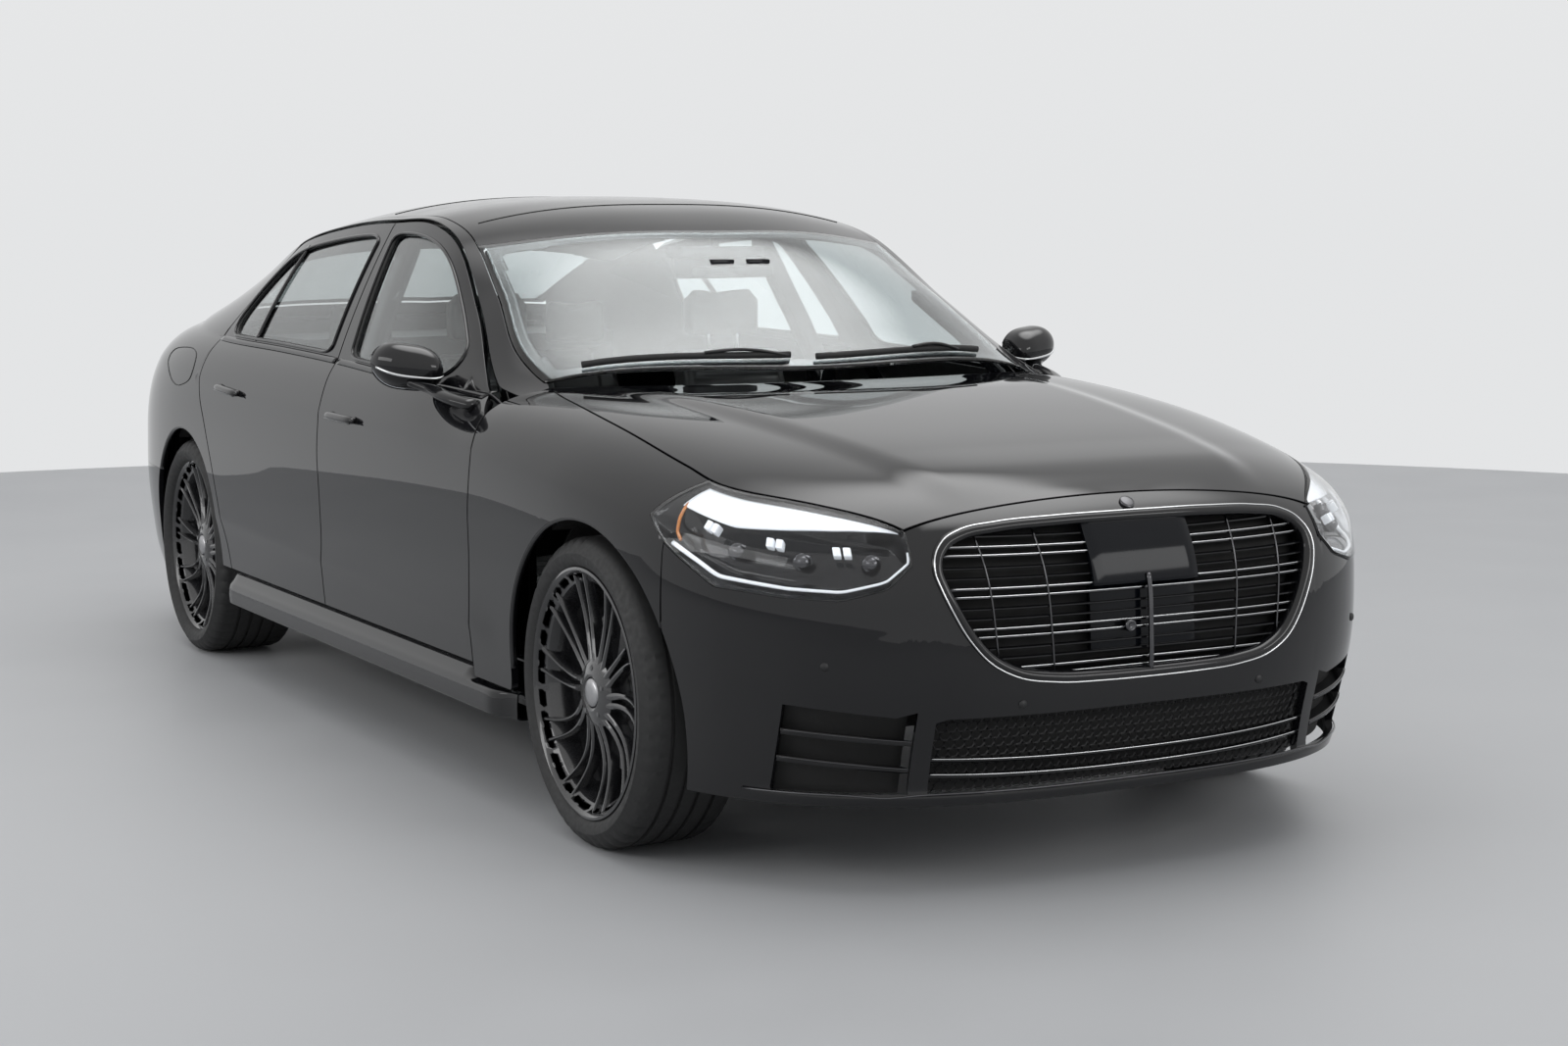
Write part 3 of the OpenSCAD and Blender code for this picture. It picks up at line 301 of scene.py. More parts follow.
def tube_bmesh(bm, path, radius, segments=8, closed=False, flat=1.0):
    """A round or oval rod along a path of points, as a grid closed on itself."""
    path = np.asarray(path, float) + np.array([SHIFT, 0, 0])
    n = len(path)
    ahead = np.roll(path, -1, 0) - np.roll(path, 1, 0)
    if not closed:
        ahead[0], ahead[-1] = path[1] - path[0], path[-1] - path[-2]
    ahead /= np.maximum(np.linalg.norm(ahead, axis=1, keepdims=True), 1e-9)
    up = np.array([0, 0, 1.0]) if np.abs(ahead[:, 2]).mean() < 0.8 else np.array([0, 1.0, 0])
    across = np.cross(ahead, up)
    across /= np.maximum(np.linalg.norm(across, axis=1, keepdims=True), 1e-9)
    upward = np.cross(across, ahead)
    radius = np.broadcast_to(radius, n)
    rings = n + 1 if closed else n
    made = bmesh.ops.create_grid(bm, x_segments=segments, y_segments=rings - 1, size=1)["verts"]
    made.sort(key=lambda v: v.index)
    k = 0
    for i in range(rings):
        j = i % n
        for a in range(segments + 1):
            w = 2 * math.pi * a / segments
            made[k].co = path[j] + radius[j] * (math.cos(w) * across[j] + flat * math.sin(w) * upward[j])
            k += 1
    edges = {e for v in made for e in v.link_edges if e.is_boundary}
    bmesh.ops.remove_doubles(bm, verts=made, dist=1e-6)
    if not closed:
        rim = [e for e in bm.edges if e.is_boundary and e in edges]
        bmesh.ops.holes_fill(bm, edges=[e for e in bm.edges if e.is_boundary], sides=0) if rim else None
    return bm


def tubes(name, paths, radius, material, body, segments=8, closed=False, flat=1.0, stands=()):
    bm = bmesh.new()
    for path in paths:
        one = tube_bmesh(bmesh.new(), path, radius, segments, closed, flat)
        temp = bpy.data.meshes.new("tube")
        one.to_mesh(temp)
        one.free()
        bm.from_mesh(temp)
        bpy.data.meshes.remove(temp)
    bmesh.ops.recalc_face_normals(bm, faces=bm.faces)
    return finish_object(bm, name, material, body, stands)


def add_box(bm, low, high, bevel=0.0, segments=2, turn=None):
    """A block between two corners, its edges rounded, perhaps turned about its middle."""
    low, high = Vector(low), Vector(high)
    middle, size = (low + high) / 2, high - low
    matrix = Matrix.Translation(middle) @ (turn or Matrix.Identity(4)) @ Matrix.Diagonal((*size, 1))
    verts = bmesh.ops.create_cube(bm, size=1, matrix=matrix)["verts"]
    if bevel:
        edges = list({e for v in verts for e in v.link_edges})
        bmesh.ops.bevel(bm, geom=edges, offset=bevel, offset_type="OFFSET", segments=segments, profile=0.5,
                        affect="EDGES", clamp_overlap=True, material=-1)


def blocks(name, boxes, material, body, bevel=0.002, stands=(), smooth=True):
    bm = bmesh.new()
    for low, high in boxes:
        add_box(bm, low, high, bevel)
    obj = finish_object(bm, name, material, body, stands, smooth)
    sharpen(obj)
    return obj


def sharpen(obj, degrees=35):
    obj.data.set_sharp_from_angle(angle=math.radians(degrees))


def spun(bm, profile, segments, centre, axis=(0, 1, 0)):
    """A profile of (radius, offset along the axis) points turned once round the axis."""
    centre, axis = Vector(centre), Vector(axis).normalized()
    out = Vector((0, 0, 1)) if abs(axis.z) < 0.9 else Vector((1, 0, 0))
    out = (out - axis * out.dot(axis)).normalized()
    verts = [bm.verts.new(centre + out * r + axis * h) for r, h in profile]
    edges = [bm.edges.new(pair) for pair in zip(verts, verts[1:])]
    bmesh.ops.spin(bm, geom=verts + edges, cent=centre, axis=axis, angle=2 * math.pi, steps=segments,
                   use_merge=True, use_duplicate=False)
    bmesh.ops.remove_doubles(bm, verts=bm.verts, dist=1e-6)


# ---- materials ----
MATERIALS = {}


def shader(name, colour, rough, metal=0.0, **more):
    """A new material's principled shader, with its plain values set on its own sockets."""
    mat = bpy.data.materials.new(name)
    mat.use_nodes = True
    bsdf = mat.node_tree.nodes["Principled BSDF"]
    bsdf.inputs["Base Color"].default_value = (*colour, 1)
    bsdf.inputs["Roughness"].default_value = rough
    bsdf.inputs["Metallic"].default_value = metal
    for socket, value in more.items():
        bsdf.inputs[socket.replace("_", " ")].default_value = value
    MATERIALS[name] = mat
    return mat, mat.node_tree, bsdf


def coordinates(nt, scale=(1, 1, 1)):
    place = nt.nodes.new("ShaderNodeTexCoord")
    mapping = nt.nodes.new("ShaderNodeMapping")
    mapping.inputs["Scale"].default_value = scale
    nt.links.new(place.outputs["Object"], mapping.inputs["Vector"])
    return mapping.outputs["Vector"]


def noise(nt, size, detail=4.0, scale=(1, 1, 1)):
    node = nt.nodes.new("ShaderNodeTexNoise")
    node.inputs["Scale"].default_value = 1 / size
    node.inputs["Detail"].default_value = detail
    nt.links.new(coordinates(nt, scale), node.inputs["Vector"])
    return node.outputs["Fac"]


def cells(nt, size, scale=(1, 1, 1), feature="F1"):
    node = nt.nodes.new("ShaderNodeTexVoronoi")
    node.feature = feature
    node.inputs["Scale"].default_value = 1 / size
    nt.links.new(coordinates(nt, scale), node.inputs["Vector"])
    return node.outputs["Distance"]


def between(nt, fac, low, high):
    """A number or colour that runs from low to high as fac runs from 0 to 1."""
    if isinstance(low, tuple):
        node = nt.nodes.new("ShaderNodeMix")
        node.data_type = "RGBA"
        nt.links.new(fac, node.inputs[0])
        node.inputs[6].default_value = (*low, 1)
        node.inputs[7].default_value = (*high, 1)
        return node.outputs[2]
    node = nt.nodes.new("ShaderNodeMapRange")
    node.inputs["From Min"].default_value = 0.3
    node.inputs["From Max"].default_value = 0.7
    node.inputs["To Min"].default_value = low
    node.inputs["To Max"].default_value = high
    nt.links.new(fac, node.inputs["Value"])
    return node.outputs["Result"]


def bump(nt, bsdf, height, strength, distance):
    node = nt.nodes.new("ShaderNodeBump")
    node.inputs["Strength"].default_value = strength
    node.inputs["Distance"].default_value = distance
    nt.links.new(height, node.inputs["Height"])
    if bsdf.inputs["Normal"].is_linked:
        nt.links.new(bsdf.inputs["Normal"].links[0].from_socket, node.inputs["Normal"])
    nt.links.new(node.outputs["Normal"], bsdf.inputs["Normal"])


def varied(nt, bsdf, fac, dark, light, rough=None):
    nt.links.new(between(nt, fac, dark, light), bsdf.inputs["Base Color"])
    if rough:
        nt.links.new(between(nt, fac, *rough), bsdf.inputs["Roughness"])


def make_materials():
    look = bpy.context.scene.saloon
    paint = tuple(look.paint)
    _, nt, b = shader("paint", paint, 0.30, 0.0, Coat_Weight=1.0, Coat_Roughness=0.015,
                      Specular_IOR_Level=0.0)
    varied(nt, b, cells(nt, 0.0009), paint, tuple(c * 1.5 + 0.001 for c in paint), (0.26, 0.34))
    bump(nt, b, noise(nt, 0.006, 2), 0.012, 0.0004)
    _, nt, b = shader("gloss_black", (0.006, 0.006, 0.007), 0.08, 0.0, Specular_IOR_Level=0.45)
    varied(nt, b, noise(nt, 0.05), (0.005, 0.005, 0.006), (0.009, 0.009, 0.010), (0.06, 0.12))
    _, nt, b = shader("dark_chrome", (0.10, 0.10, 0.105), 0.16, 1.0)
    varied(nt, b, noise(nt, 0.03), (0.08, 0.08, 0.085), (0.13, 0.13, 0.135), (0.12, 0.2))
    _, nt, b = shader("chrome", (0.78, 0.79, 0.80), 0.06, 1.0)
    varied(nt, b, noise(nt, 0.02), (0.74, 0.75, 0.76), (0.82, 0.83, 0.84), (0.04, 0.09))
    _, nt, b = shader("satin_plastic", (0.012, 0.012, 0.013), 0.45)
    varied(nt, b, noise(nt, 0.004), (0.010, 0.010, 0.011), (0.017, 0.017, 0.018), (0.38, 0.52))
    bump(nt, b, cells(nt, 0.0014), 0.12, 0.0003)
    _, nt, b = shader("liner", (0.02, 0.02, 0.02), 0.85)
    varied(nt, b, noise(nt, 0.03, 8), (0.012, 0.012, 0.012), (0.035, 0.034, 0.033), (0.75, 0.95))
    bump(nt, b, noise(nt, 0.002, 6), 0.5, 0.001)
    _, nt, b = shader("rubber", (0.018, 0.018, 0.018), 0.62)
    varied(nt, b, noise(nt, 0.012, 6), (0.013, 0.013, 0.013), (0.026, 0.026, 0.026), (0.52, 0.74))
    bump(nt, b, noise(nt, 0.0015, 4), 0.25, 0.0004)
    _, nt, b = shader("wheel_black", (0.010, 0.010, 0.011), 0.22, 0.0, Coat_Weight=1.0, Coat_Roughness=0.05)
    varied(nt, b, cells(nt, 0.0008), (0.008, 0.008, 0.009), (0.022, 0.022, 0.024), (0.18, 0.28))
    _, nt, b = shader("brushed_steel", (0.42, 0.42, 0.43), 0.32, 1.0)
    varied(nt, b, noise(nt, 0.002, 4), (0.34, 0.34, 0.35), (0.52, 0.52, 0.53), (0.24, 0.42))
    _, nt, b = shader("cast", (0.22, 0.22, 0.23), 0.5, 1.0)
    varied(nt, b, noise(nt, 0.01, 6), (0.16, 0.16, 0.17), (0.30, 0.30, 0.31), (0.42, 0.62))
    bump(nt, b, noise(nt, 0.002, 4), 0.3, 0.0006)
    _, nt, b = shader("chassis", (0.03, 0.03, 0.032), 0.55)
    varied(nt, b, noise(nt, 0.04, 8), (0.02, 0.02, 0.021), (0.05, 0.049, 0.047), (0.45, 0.7))
    bump(nt, b, noise(nt, 0.003, 5), 0.3, 0.0005)
    _, nt, b = shader("exhaust_steel", (0.32, 0.29, 0.26), 0.35, 1.0)
    varied(nt, b, noise(nt, 0.06, 6), (0.24, 0.21, 0.18), (0.42, 0.40, 0.38), (0.26, 0.5))
    _, nt, b = shader("leather", tuple(look.leather), 0.42, Specular_IOR_Level=0.45)
    light = tuple(c * 1.5 for c in look.leather)
    varied(nt, b, noise(nt, 0.02, 5), tuple(look.leather), light, (0.36, 0.5))
    bump(nt, b, cells(nt, 0.0022), 0.35, 0.0005)
    _, nt, b = shader("headliner", (0.16, 0.155, 0.15), 0.9, Sheen_Weight=0.3)
    varied(nt, b, noise(nt, 0.003, 6), (0.13, 0.127, 0.123), (0.20, 0.195, 0.19))
    bump(nt, b, noise(nt, 0.0012, 6), 0.5, 0.0006)
    _, nt, b = shader("carpet", (0.018, 0.018, 0.018), 0.95, Sheen_Weight=0.4)
    varied(nt, b, noise(nt, 0.004, 6), (0.010, 0.010, 0.010), (0.032, 0.032, 0.032))
    bump(nt, b, noise(nt, 0.0015, 6), 0.8, 0.0015)
    _, nt, b = shader("screen", (0.004, 0.005, 0.007), 0.08, Specular_IOR_Level=0.2)
    varied(nt, b, noise(nt, 0.1), (0.003, 0.004, 0.006), (0.006, 0.007, 0.010))
    _, nt, b = shader("red_lens", (0.17, 0.002, 0.003), 0.12, Coat_Weight=0.6, Coat_Roughness=0.02)
    varied(nt, b, cells(nt, 0.006), (0.22, 0.003, 0.004), (0.45, 0.012, 0.014))
    # light guide: a pale lens with a faint painted glow; the lamps are unlit, so the glow stands in for light
    _, nt, b = shader("light_guide_painted_glow", (0.82, 0.84, 0.87), 0.12, Coat_Weight=1.0, Emission_Strength=0.25)
    b.inputs["Emission Color"].default_value = (0.9, 0.95, 1.0, 1)
    varied(nt, b, noise(nt, 0.004), (0.74, 0.76, 0.80), (0.9, 0.92, 0.95))
    _, nt, b = shader("amber", (0.55, 0.17, 0.02), 0.15, Coat_Weight=1.0)
    varied(nt, b, cells(nt, 0.004), (0.45, 0.12, 0.01), (0.65, 0.24, 0.04))
    _, nt, b = shader("plate", (0.72, 0.73, 0.74), 0.35, Coat_Weight=0.4)
    varied(nt, b, noise(nt, 0.05), (0.68, 0.69, 0.70), (0.76, 0.77, 0.78))
    clear("tinted_glass", (0.72, 0.77, 0.77))
    clear("screen_glass", (0.80, 0.86, 0.87))
    clear("lens", (0.96, 0.97, 0.98), 1.25)
    _, nt, b = shader("mirror_glass", (0.75, 0.78, 0.82), 0.02, 1.0)
    varied(nt, b, noise(nt, 0.2), (0.72, 0.75, 0.80), (0.78, 0.81, 0.84))
    _, nt, b = shader("silver_cap", (0.45, 0.45, 0.46), 0.3, 1.0)
    varied(nt, b, noise(nt, 0.002), (0.38, 0.38, 0.39), (0.52, 0.52, 0.53))


def clear(name, tint, ior=1.45):
    """Glass that lets lamps through to what is behind it."""
    mat, nt, b = shader(name, tint, 0.0, 0.0, IOR=ior, Transmission_Weight=1.0)
    varied(nt, b, noise(nt, 0.3, 3), tint, tuple(c * 0.97 for c in tint))
    out = nt.nodes["Material Output"]
    mix = nt.nodes.new("ShaderNodeMixShader")
    path = nt.nodes.new("ShaderNodeLightPath")
    through = nt.nodes.new("ShaderNodeBsdfTransparent")
    through.inputs["Color"].default_value = (*tint, 1)
    nt.links.new(path.outputs["Is Shadow Ray"], mix.inputs["Fac"])
    nt.links.new(b.outputs["BSDF"], mix.inputs[1])
    nt.links.new(through.outputs["BSDF"], mix.inputs[2])
    nt.links.new(mix.outputs["Shader"], out.inputs["Surface"])


def dress(node, material):
    """A packed node that stays gets a finished material."""
    obj = NODES[node]
    obj.data.materials.clear()
    obj.data.materials.append(MATERIALS[material])


# ---- doors ----
DOOR_FRONT_X = 1.100
DOOR_MID_X = -0.070
DOOR_REAR_X = -1.284
FRAME_TOP = 0.032


def front_belt(x):
    b = curve(BELT, x)
    return np.where(x > 0.985, lerp(curve(BELT, 0.985), 0.946, (x - 0.985) / 0.115), b)


def front_door_skin(u, v):
    x1 = lerp(DOOR_FRONT_X, DOOR_MID_X, u)
    z = lerp(SILL, front_belt(x1), v)
    x = lerp(curve(FRONT_SHUT, z) - half_gap(FRONT_SHUT, z), curve(MID_SHUT, z) + HALF, u)
    return points(x, flank(x, z), z)


def rear_door_skin(u, v):
    x1 = lerp(-0.0805, DOOR_REAR_X, u)
    z = lerp(SILL, curve(BELT, x1), v)
    x = lerp(curve(MID_SHUT, z) - HALF, curve(REAR_SHUT, z) + half_gap(REAR_SHUT, z), u)
    return points(x, flank(x, z), z)


def rail_line(x):
    return curve(RAIL_Z, x) - HEAD_GAP


def outline(*runs):
    """A closed loop of (x, z) from several runs, each given the same count on every loop it joins."""
    return np.concatenate([np.stack(np.broadcast_arrays(x, z), -1)[:-1] for x, z in runs])


def rounded(loop, reach):
    """Rounds the corners of a closed loop by averaging each point with its neighbours."""
    out = sum(np.roll(loop, k, 0) for k in range(-reach, reach + 1))
    return out / (2 * reach + 1)


RUN = 40


def front_frame_loops():
    t = steps(RUN)
    x = lerp(0.985, -0.186, t)
    z = np.linspace(float(rail_line(-0.186)), float(front_belt(-0.069)), RUN)
    outer = outline((x, rail_line(x)), (curve(MID_SHUT, z) + HALF, z),
                    (lerp(-0.069, 0.985, t), front_belt(lerp(-0.069, 0.985, t)) + 0.0005))
    xt = lerp(0.800, -0.128, t)
    zt = rail_line(xt) - FRAME_TOP
    zr = np.linspace(zt[-1], float(front_belt(0.03)) + 0.014, RUN)
    xb = lerp(0.03, 0.800, t)
    inner = outline((xt, zt), (line([(zt[-1] - 1e-6, -0.128), (zt[-1], -0.128)], zr) * 0
                               + lerp(0.03, -0.128, (zr - zr[-1]) / (zr[0] - zr[-1])), zr),
                    (xb, lerp(front_belt(xb) + 0.014, np.full(RUN, zt[0]), ease((t - 0.9) / 0.1))))
    return outer, rounded(inner, 3)


def rear_head(x):
    return np.minimum(rail_line(x), np.where(x > -1.03, 9, curve(DOOR_HEAD, x)))


def rear_frame_loops():
    t = steps(RUN)
    z = np.linspace(float(curve(BELT, -0.08)), float(rail_line(-0.192)), RUN)
    x = lerp(-0.192, DOOR_REAR_X, 1 - (1 - t) ** 1.3)
    xb = lerp(DOOR_REAR_X, -0.0755, t)
    outer = outline((curve(MID_SHUT, z) - HALF, z), (x, rear_head(x)), (xb, curve(BELT, xb) + 0.0005))
    zf = np.linspace(float(curve(BELT, -0.155)) + 0.014, float(rail_line(-0.245)) - FRAME_TOP, RUN)
    xi = lerp(-0.245, -1.236, 1 - (1 - t) ** 1.3)
    lower = np.where(xi < -0.95, ease((-0.95 - xi) / 0.1) * 0.010, 0)
    ib = lerp(-1.236, -0.155, t)
    inner = outline((lerp(-0.155, -0.245, (zf - zf[0]) / (zf[-1] - zf[0])), zf),
                    (xi, np.maximum(rear_head(xi - 0.012) - FRAME_TOP - lower, curve(BELT, xi) + 0.016)),
                    (ib, curve(BELT, ib) + 0.014))
    return outer, rounded(inner, 3)


def on_house(loop, out=0.0):
    return points(loop[..., 0], house(loop[..., 0], loop[..., 1]) + out, loop[..., 1])


def ring_grid(outer, inner, rows=4):
    """A closed band between two loops with the same count."""
    outer, inner = (np.concatenate([q, q[:1]]) for q in (outer, inner))
    return np.stack([on_house(lerp(outer, inner, t)) for t in steps(rows)])


def door_glass(x_low, x_high, head):
    u, v = mesh_uv(30, 16)
    xb = lerp(x_low[0], x_low[1], u)
    xt = lerp(x_high[0], x_high[1], u)
    zb = curve(BELT, xb) - 0.012
    zt = np.maximum(head(xt) - 0.016, zb + 0.02)
    x, z = lerp(xb, xt, v), lerp(zb, zt, v)
    return points(x, house(x, z) - 0.009, z)


def door_pieces(where, label, s, P, loops, glass, handle_x, handle_z, card_span):
    paint, black = MATERIALS["paint"], MATERIALS["gloss_black"]
    body = f"{where}_{label}_door"
    out = (0, s, 0.1)
    node, pane = f"door_{where}_{label}", f"glass_{where}_{label}"
    tag = f"{where}_{label}"
    skin(f"door_panel_{tag}", sided(P, s), paint, body, out, wall=0.028, stands=(node,))
    outer, inner = loops
    skin(f"door_frame_{tag}", sided(ring_grid(outer, inner), s), black, body, out, wall=0.026,
         rim=0.0015)
    bead = on_house(inner, 0.002)
    tubes(f"window_bead_{tag}", [sided(bead, s)], 0.0045, black, body, closed=True)
    seal = on_house(inner, -0.007)
    tubes(f"window_seal_{tag}", [sided(seal, s)], 0.006, MATERIALS["rubber"], body,
          closed=True)
    skin(f"window_{tag}", sided(glass, s), MATERIALS["tinted_glass"], body, out, wall=0.004,
         rim=0, stands=(pane,))
    # belt moulding along the foot of the window
    last = float(curve(MID_SHUT, 1.0)) + 0.008 if where == "front" else outer[:, 0].min() + 0.004
    x = np.linspace(outer[:, 0].max() - 0.004, last, 60)
    z0 = front_belt(x) if where == "front" else curve(BELT, x)
    strip = np.stack([points(x, flank(x, z0 + d) + o, z0 + d) for d, o in
                      ((-0.009, 0.0005), (-0.008, 0.004), (0.002, 0.0045), (0.007, 0.003), (0.008, -0.002))])
    skin(f"belt_moulding_{tag}", sided(strip, s), black, body, out, wall=0.002, rim=0)
    # inner card: a crowned panel with an arm rest
    u, v = mesh_uv(36, 30)
    u0, u1, make = card_span
    C = make(lerp(u0, u1, u), lerp(0.04, 0.985, v))
    arm = np.exp(-((v - 0.55) / 0.07) ** 2) * ease(u / 0.2) * ease((1 - u) / 0.12)
    pocket = np.exp(-((v - 0.14) / 0.10) ** 2) * ease((u - 0.1) / 0.1) * ease((0.9 - u) / 0.1)
    edge = ease(u / 0.05) * ease((1 - u) / 0.05) * ease(v / 0.06)
    C = C - points(0, 0.030 + 0.022 * edge + 0.055 * arm + 0.025 * pocket, 0)
    skin(f"door_card_{tag}", sided(C, s), MATERIALS["leather"], body, (0, -s, 0), wall=0.004)
    lines = [C[int(k * 29)] + np.array([0, -0.0015, 0]) for k in (0.34, 0.72)]
    tubes(f"card_trim_{tag}", [sided(q[2:-2], s) for q in lines], 0.003, MATERIALS["brushed_steel"], body)
    # handle: a slim bar on two feet, with an inlay along it
    hx = np.linspace(handle_x - 0.118, handle_x + 0.118, 24)
    slope = (curve(SHOULDER, handle_x + 0.1) - curve(SHOULDER, handle_x - 0.1)) / 0.2
    hz = handle_z + (hx - handle_x) * slope
    bend = 0.010 + 0.007 * np.sqrt(np.clip(1 - ((hx - handle_x) / 0.122) ** 2, 0, 1))
    bar = points(hx, flank(hx, hz) + bend, hz)
    swell = 0.0125 * np.clip(1 - ((hx - handle_x) / 0.121) ** 8, 0.25, 1)
    tubes(f"door_handle_{tag}", [sided(bar, s)], swell, paint, body, segments=14, flat=0.95)
    wire = points(hx[1:-1], flank(hx, hz)[1:-1] + bend[1:-1] + 0.008, hz[1:-1] - 0.008)
    tubes(f"handle_inlay_{tag}", [sided(wire, s)], 0.0022, MATERIALS["dark_chrome"], body)
    shell = [points(hx[k], flank(hx[k], hz[k]) + np.linspace(-0.002, 0.014, 5), hz[k]) for k in (2, 21)]
    tubes(f"handle_feet_{tag}", [sided(q, s) for q in shell], 0.008, black, body, flat=1.2)


def mirror_pieces(label, s):
    """A two-part housing on a foot, with its glass facing back and a bright strip across the front."""
    body = f"front_{label}_door"
    black = MATERIALS["gloss_black"]
    t = steps(40)[:, None]
    round_in = (1 - np.abs(2 * t - 1) ** 3.2) ** 0.45
    y = lerp(0.872, 1.048, t)
    mid_z = lerp(1.040, 1.062, t)
    back_x = lerp(0.722, 0.702, t)
    high = 0.062 * (1 - np.clip((t - 0.5) * 2, 0, 1) ** 3 * 0.25) * round_in
    deep = lerp(0.108, 0.070, t) * round_in**0.8

    def shell(w, out=0.0):
        return points(back_x + 0.002 + (deep + out) * np.cos(w) ** 0.75,
                      y + 0 * w, mid_z + (high + out) * np.sin(w) * np.where(w > 0, 1.0, 0.92))
    upper = shell(np.linspace(-0.42, math.pi / 2, 22)[None])
    lower = shell(np.linspace(-math.pi / 2, -0.46, 12)[None])
    skin(f"mirror_cap_{label}", sided(upper, s), MATERIALS["paint"], body, (1, 0, 1),
         wall=0.003,
         stands=(f"mirror_{label}",))
    skin(f"mirror_base_{label}", sided(lower, s), black, body, (1, 0, -1), wall=0.003)
    strip = shell(np.array([[-0.43]]), 0.001)[2:-1, 0]
    tubes(f"mirror_strip_{label}", [sided(strip, s)], 0.0035, MATERIALS["chrome"], body,
          segments=8)
    w = np.linspace(-math.pi / 2, math.pi / 2, 24)
    face = np.stack([points(back_x[:, 0] + 0.010, y[:, 0],
                            mid_z[:, 0] + 0.93 * high[:, 0] * math.sin(a)) for a in w])
    skin(f"mirror_glass_{label}", sided(face[:, 1:-1], s), MATERIALS["mirror_glass"], body,
         (-1, 0, 0),
         wall=0.003, rim=0)
    rim = np.concatenate([face[0, 1:-1], face[1:-1, -2], face[-1, -2:0:-1], face[-2:0:-1, 1]])
    tubes(f"mirror_rim_{label}", [sided(rim + np.array([-0.004, 0, 0]), s)], 0.0035, black, body,
          closed=True)
    foot_y = float(flank(0.80, 0.955))
    foot = np.array([(1.000, foot_y - 0.030, 0.962), (0.950, foot_y - 0.004, 0.972),
                     (0.890, foot_y + 0.012, 0.984),
                     (0.830, 0.925, 0.996), (0.790, 0.945, 1.006), (0.770, 0.965, 1.014)])
    fine = np.stack([curve(np.stack([steps(6), foot[:, k]], -1), steps(16)) for k in range(3)], -1)
    tubes(f"mirror_foot_{label}", [sided(fine, s)], lerp(0.026, 0.020, steps(16)), black, body,
          segments=16, flat=0.6)
    # the black corner panel that carries the foot
    u, v = mesh_uv(12, 6)
    x = lerp(1.085, 0.86, u)
    z = lerp(front_belt(x) - 0.006, np.minimum(rail_line(x) - 0.028, 1.06), v * ease((1.10 - x) / 0.10))
    z = np.maximum(z, front_belt(x) - 0.006 + 0.012 * v)
    tri = points(x, house(x, z) + 0.0015, z)
    skin(f"mirror_corner_{label}", sided(tri, s), black, body, (0, s, 0), wall=0.006, rim=0)


def build_doors():
    u, v = mesh_uv(72, 56)
    front, rear = front_door_skin(u, v), rear_door_skin(u, v)
    for label, s in SIDES:
        door_pieces("front", label, s, front, front_frame_loops(),
                    door_glass((0.84, 0.01), (0.86, -0.152), rail_line), 0.190, 0.886, (0.09, 0.97,
                            front_door_skin))
        door_pieces("rear", label, s, rear, rear_frame_loops(),
                    door_glass((-0.14, -1.262), (-0.225, -1.225), rear_head), -0.915, 0.905,
                    (0.04, 0.90, rear_door_skin))
        mirror_pieces(label, s)
        # divider between the rear window and its small quarter light
        z = np.linspace(float(curve(BELT, -0.93)) + 0.008, float(rear_head(-0.955)) - FRAME_TOP + 0.01, 14)
        x = lerp(-0.918, -0.962, (z - z[0]) / (z[-1] - z[0]))
        bar = np.stack([points(x + d, house(x + d, z) + o, z) for d, o in
                        ((-0.014, -0.008), (-0.013, 0.001), (0.013, 0.001), (0.014, -0.008))])
        skin(f"window_divider_{label}", sided(bar, s), MATERIALS["gloss_black"], f"rear_{label}_door",
             (0, s, 0), wall=0.002, rim=0)


# ---- fenders, quarters and roof rails ----
def section(x, s, z0, z1, y2):
    """A point of the cross section at x: s from 0 at z0 to 1 at z1 and on to 2 at half-width y2."""
    c, q = curve(CROWN, x), curve(Q_EXP, x)
    a0 = np.arcsin((np.maximum(z1 - WAIST, 0) / (c - WAIST)) ** (q / 2))
    a1 = np.arcsin(np.clip((top(x, y2) - WAIST) / (c - WAIST), 0, 0.9999) ** (q / 2))
    high = WAIST + (c - WAIST) * np.sin(lerp(a0, a1, np.clip(s - 1, 0, 1))) ** (2 / q)
    z = np.where(s <= 1, lerp(z0, z1, s), high)
    return points(x, flank(x, z), z)


FENDER_END = ((0, 2.113), (1, 2.116), (1.17, 2.116), (1.43, 2.042), (2, 2.098))


def fender_section(x, z0, s):
    return section(x, s, z0, np.maximum(WAIST, z0 + 0.026), curve(HOOD_Y, np.maximum(x, 1.092)) + HALF)


def fender_grid():
    """Rows from the foot and the wheel arch up to the hood; columns from the door to the headlamp."""
    turn = np.linspace(0, math.pi - math.asin(0.1935 / ARCH), 64)
    bend = steps(12)[:-1] * math.pi / 2
    corner = FRONT_AXLE - ARCH - 0.020
    foot_x = np.concatenate([np.linspace(1.122, corner, 14)[:-1], corner + 0.020 * np.sin(bend),
                             FRONT_AXLE - ARCH * np.cos(turn)])
    foot_z = np.concatenate([np.full(13, 0.300), WHEEL_Z - (WHEEL_Z - 0.300) * np.cos(bend),
                             WHEEL_Z + ARCH * np.sin(turn)])
    s = np.concatenate([steps(26), steps(30, 1, 2)[1:]])[:, None]
    first = fender_section(np.full((1, 1), 1.15), 0.300, s)
    start = curve(FRONT_SHUT, first[..., 2]) + half_gap(FRONT_SHUT, first[..., 2])
    end = line(FENDER_END, s) - SEAM
    lead = np.clip((corner - foot_x) / (corner - foot_x[0]), 0, 1) ** 2
    u = (foot_x - foot_x[0]) / (foot_x[-1] - foot_x[0])
    x = foot_x[None] + (start - foot_x[0]) * lead + (end - foot_x[-1]) * u**6
    return fender_section(x, np.broadcast_to(foot_z[None], x.shape), np.broadcast_to(s, x.shape))


MID_LINE = mm((-2420, 960), (-2200, 1010), (-2020, 1050), (-1900, 1066), (-1700, 1072))
PILLAR_FRONT = mm((1050, -1294), (1080, -1294), (1150, -1258), (1243, -1204), (1330, -1135), (1380, -1113))


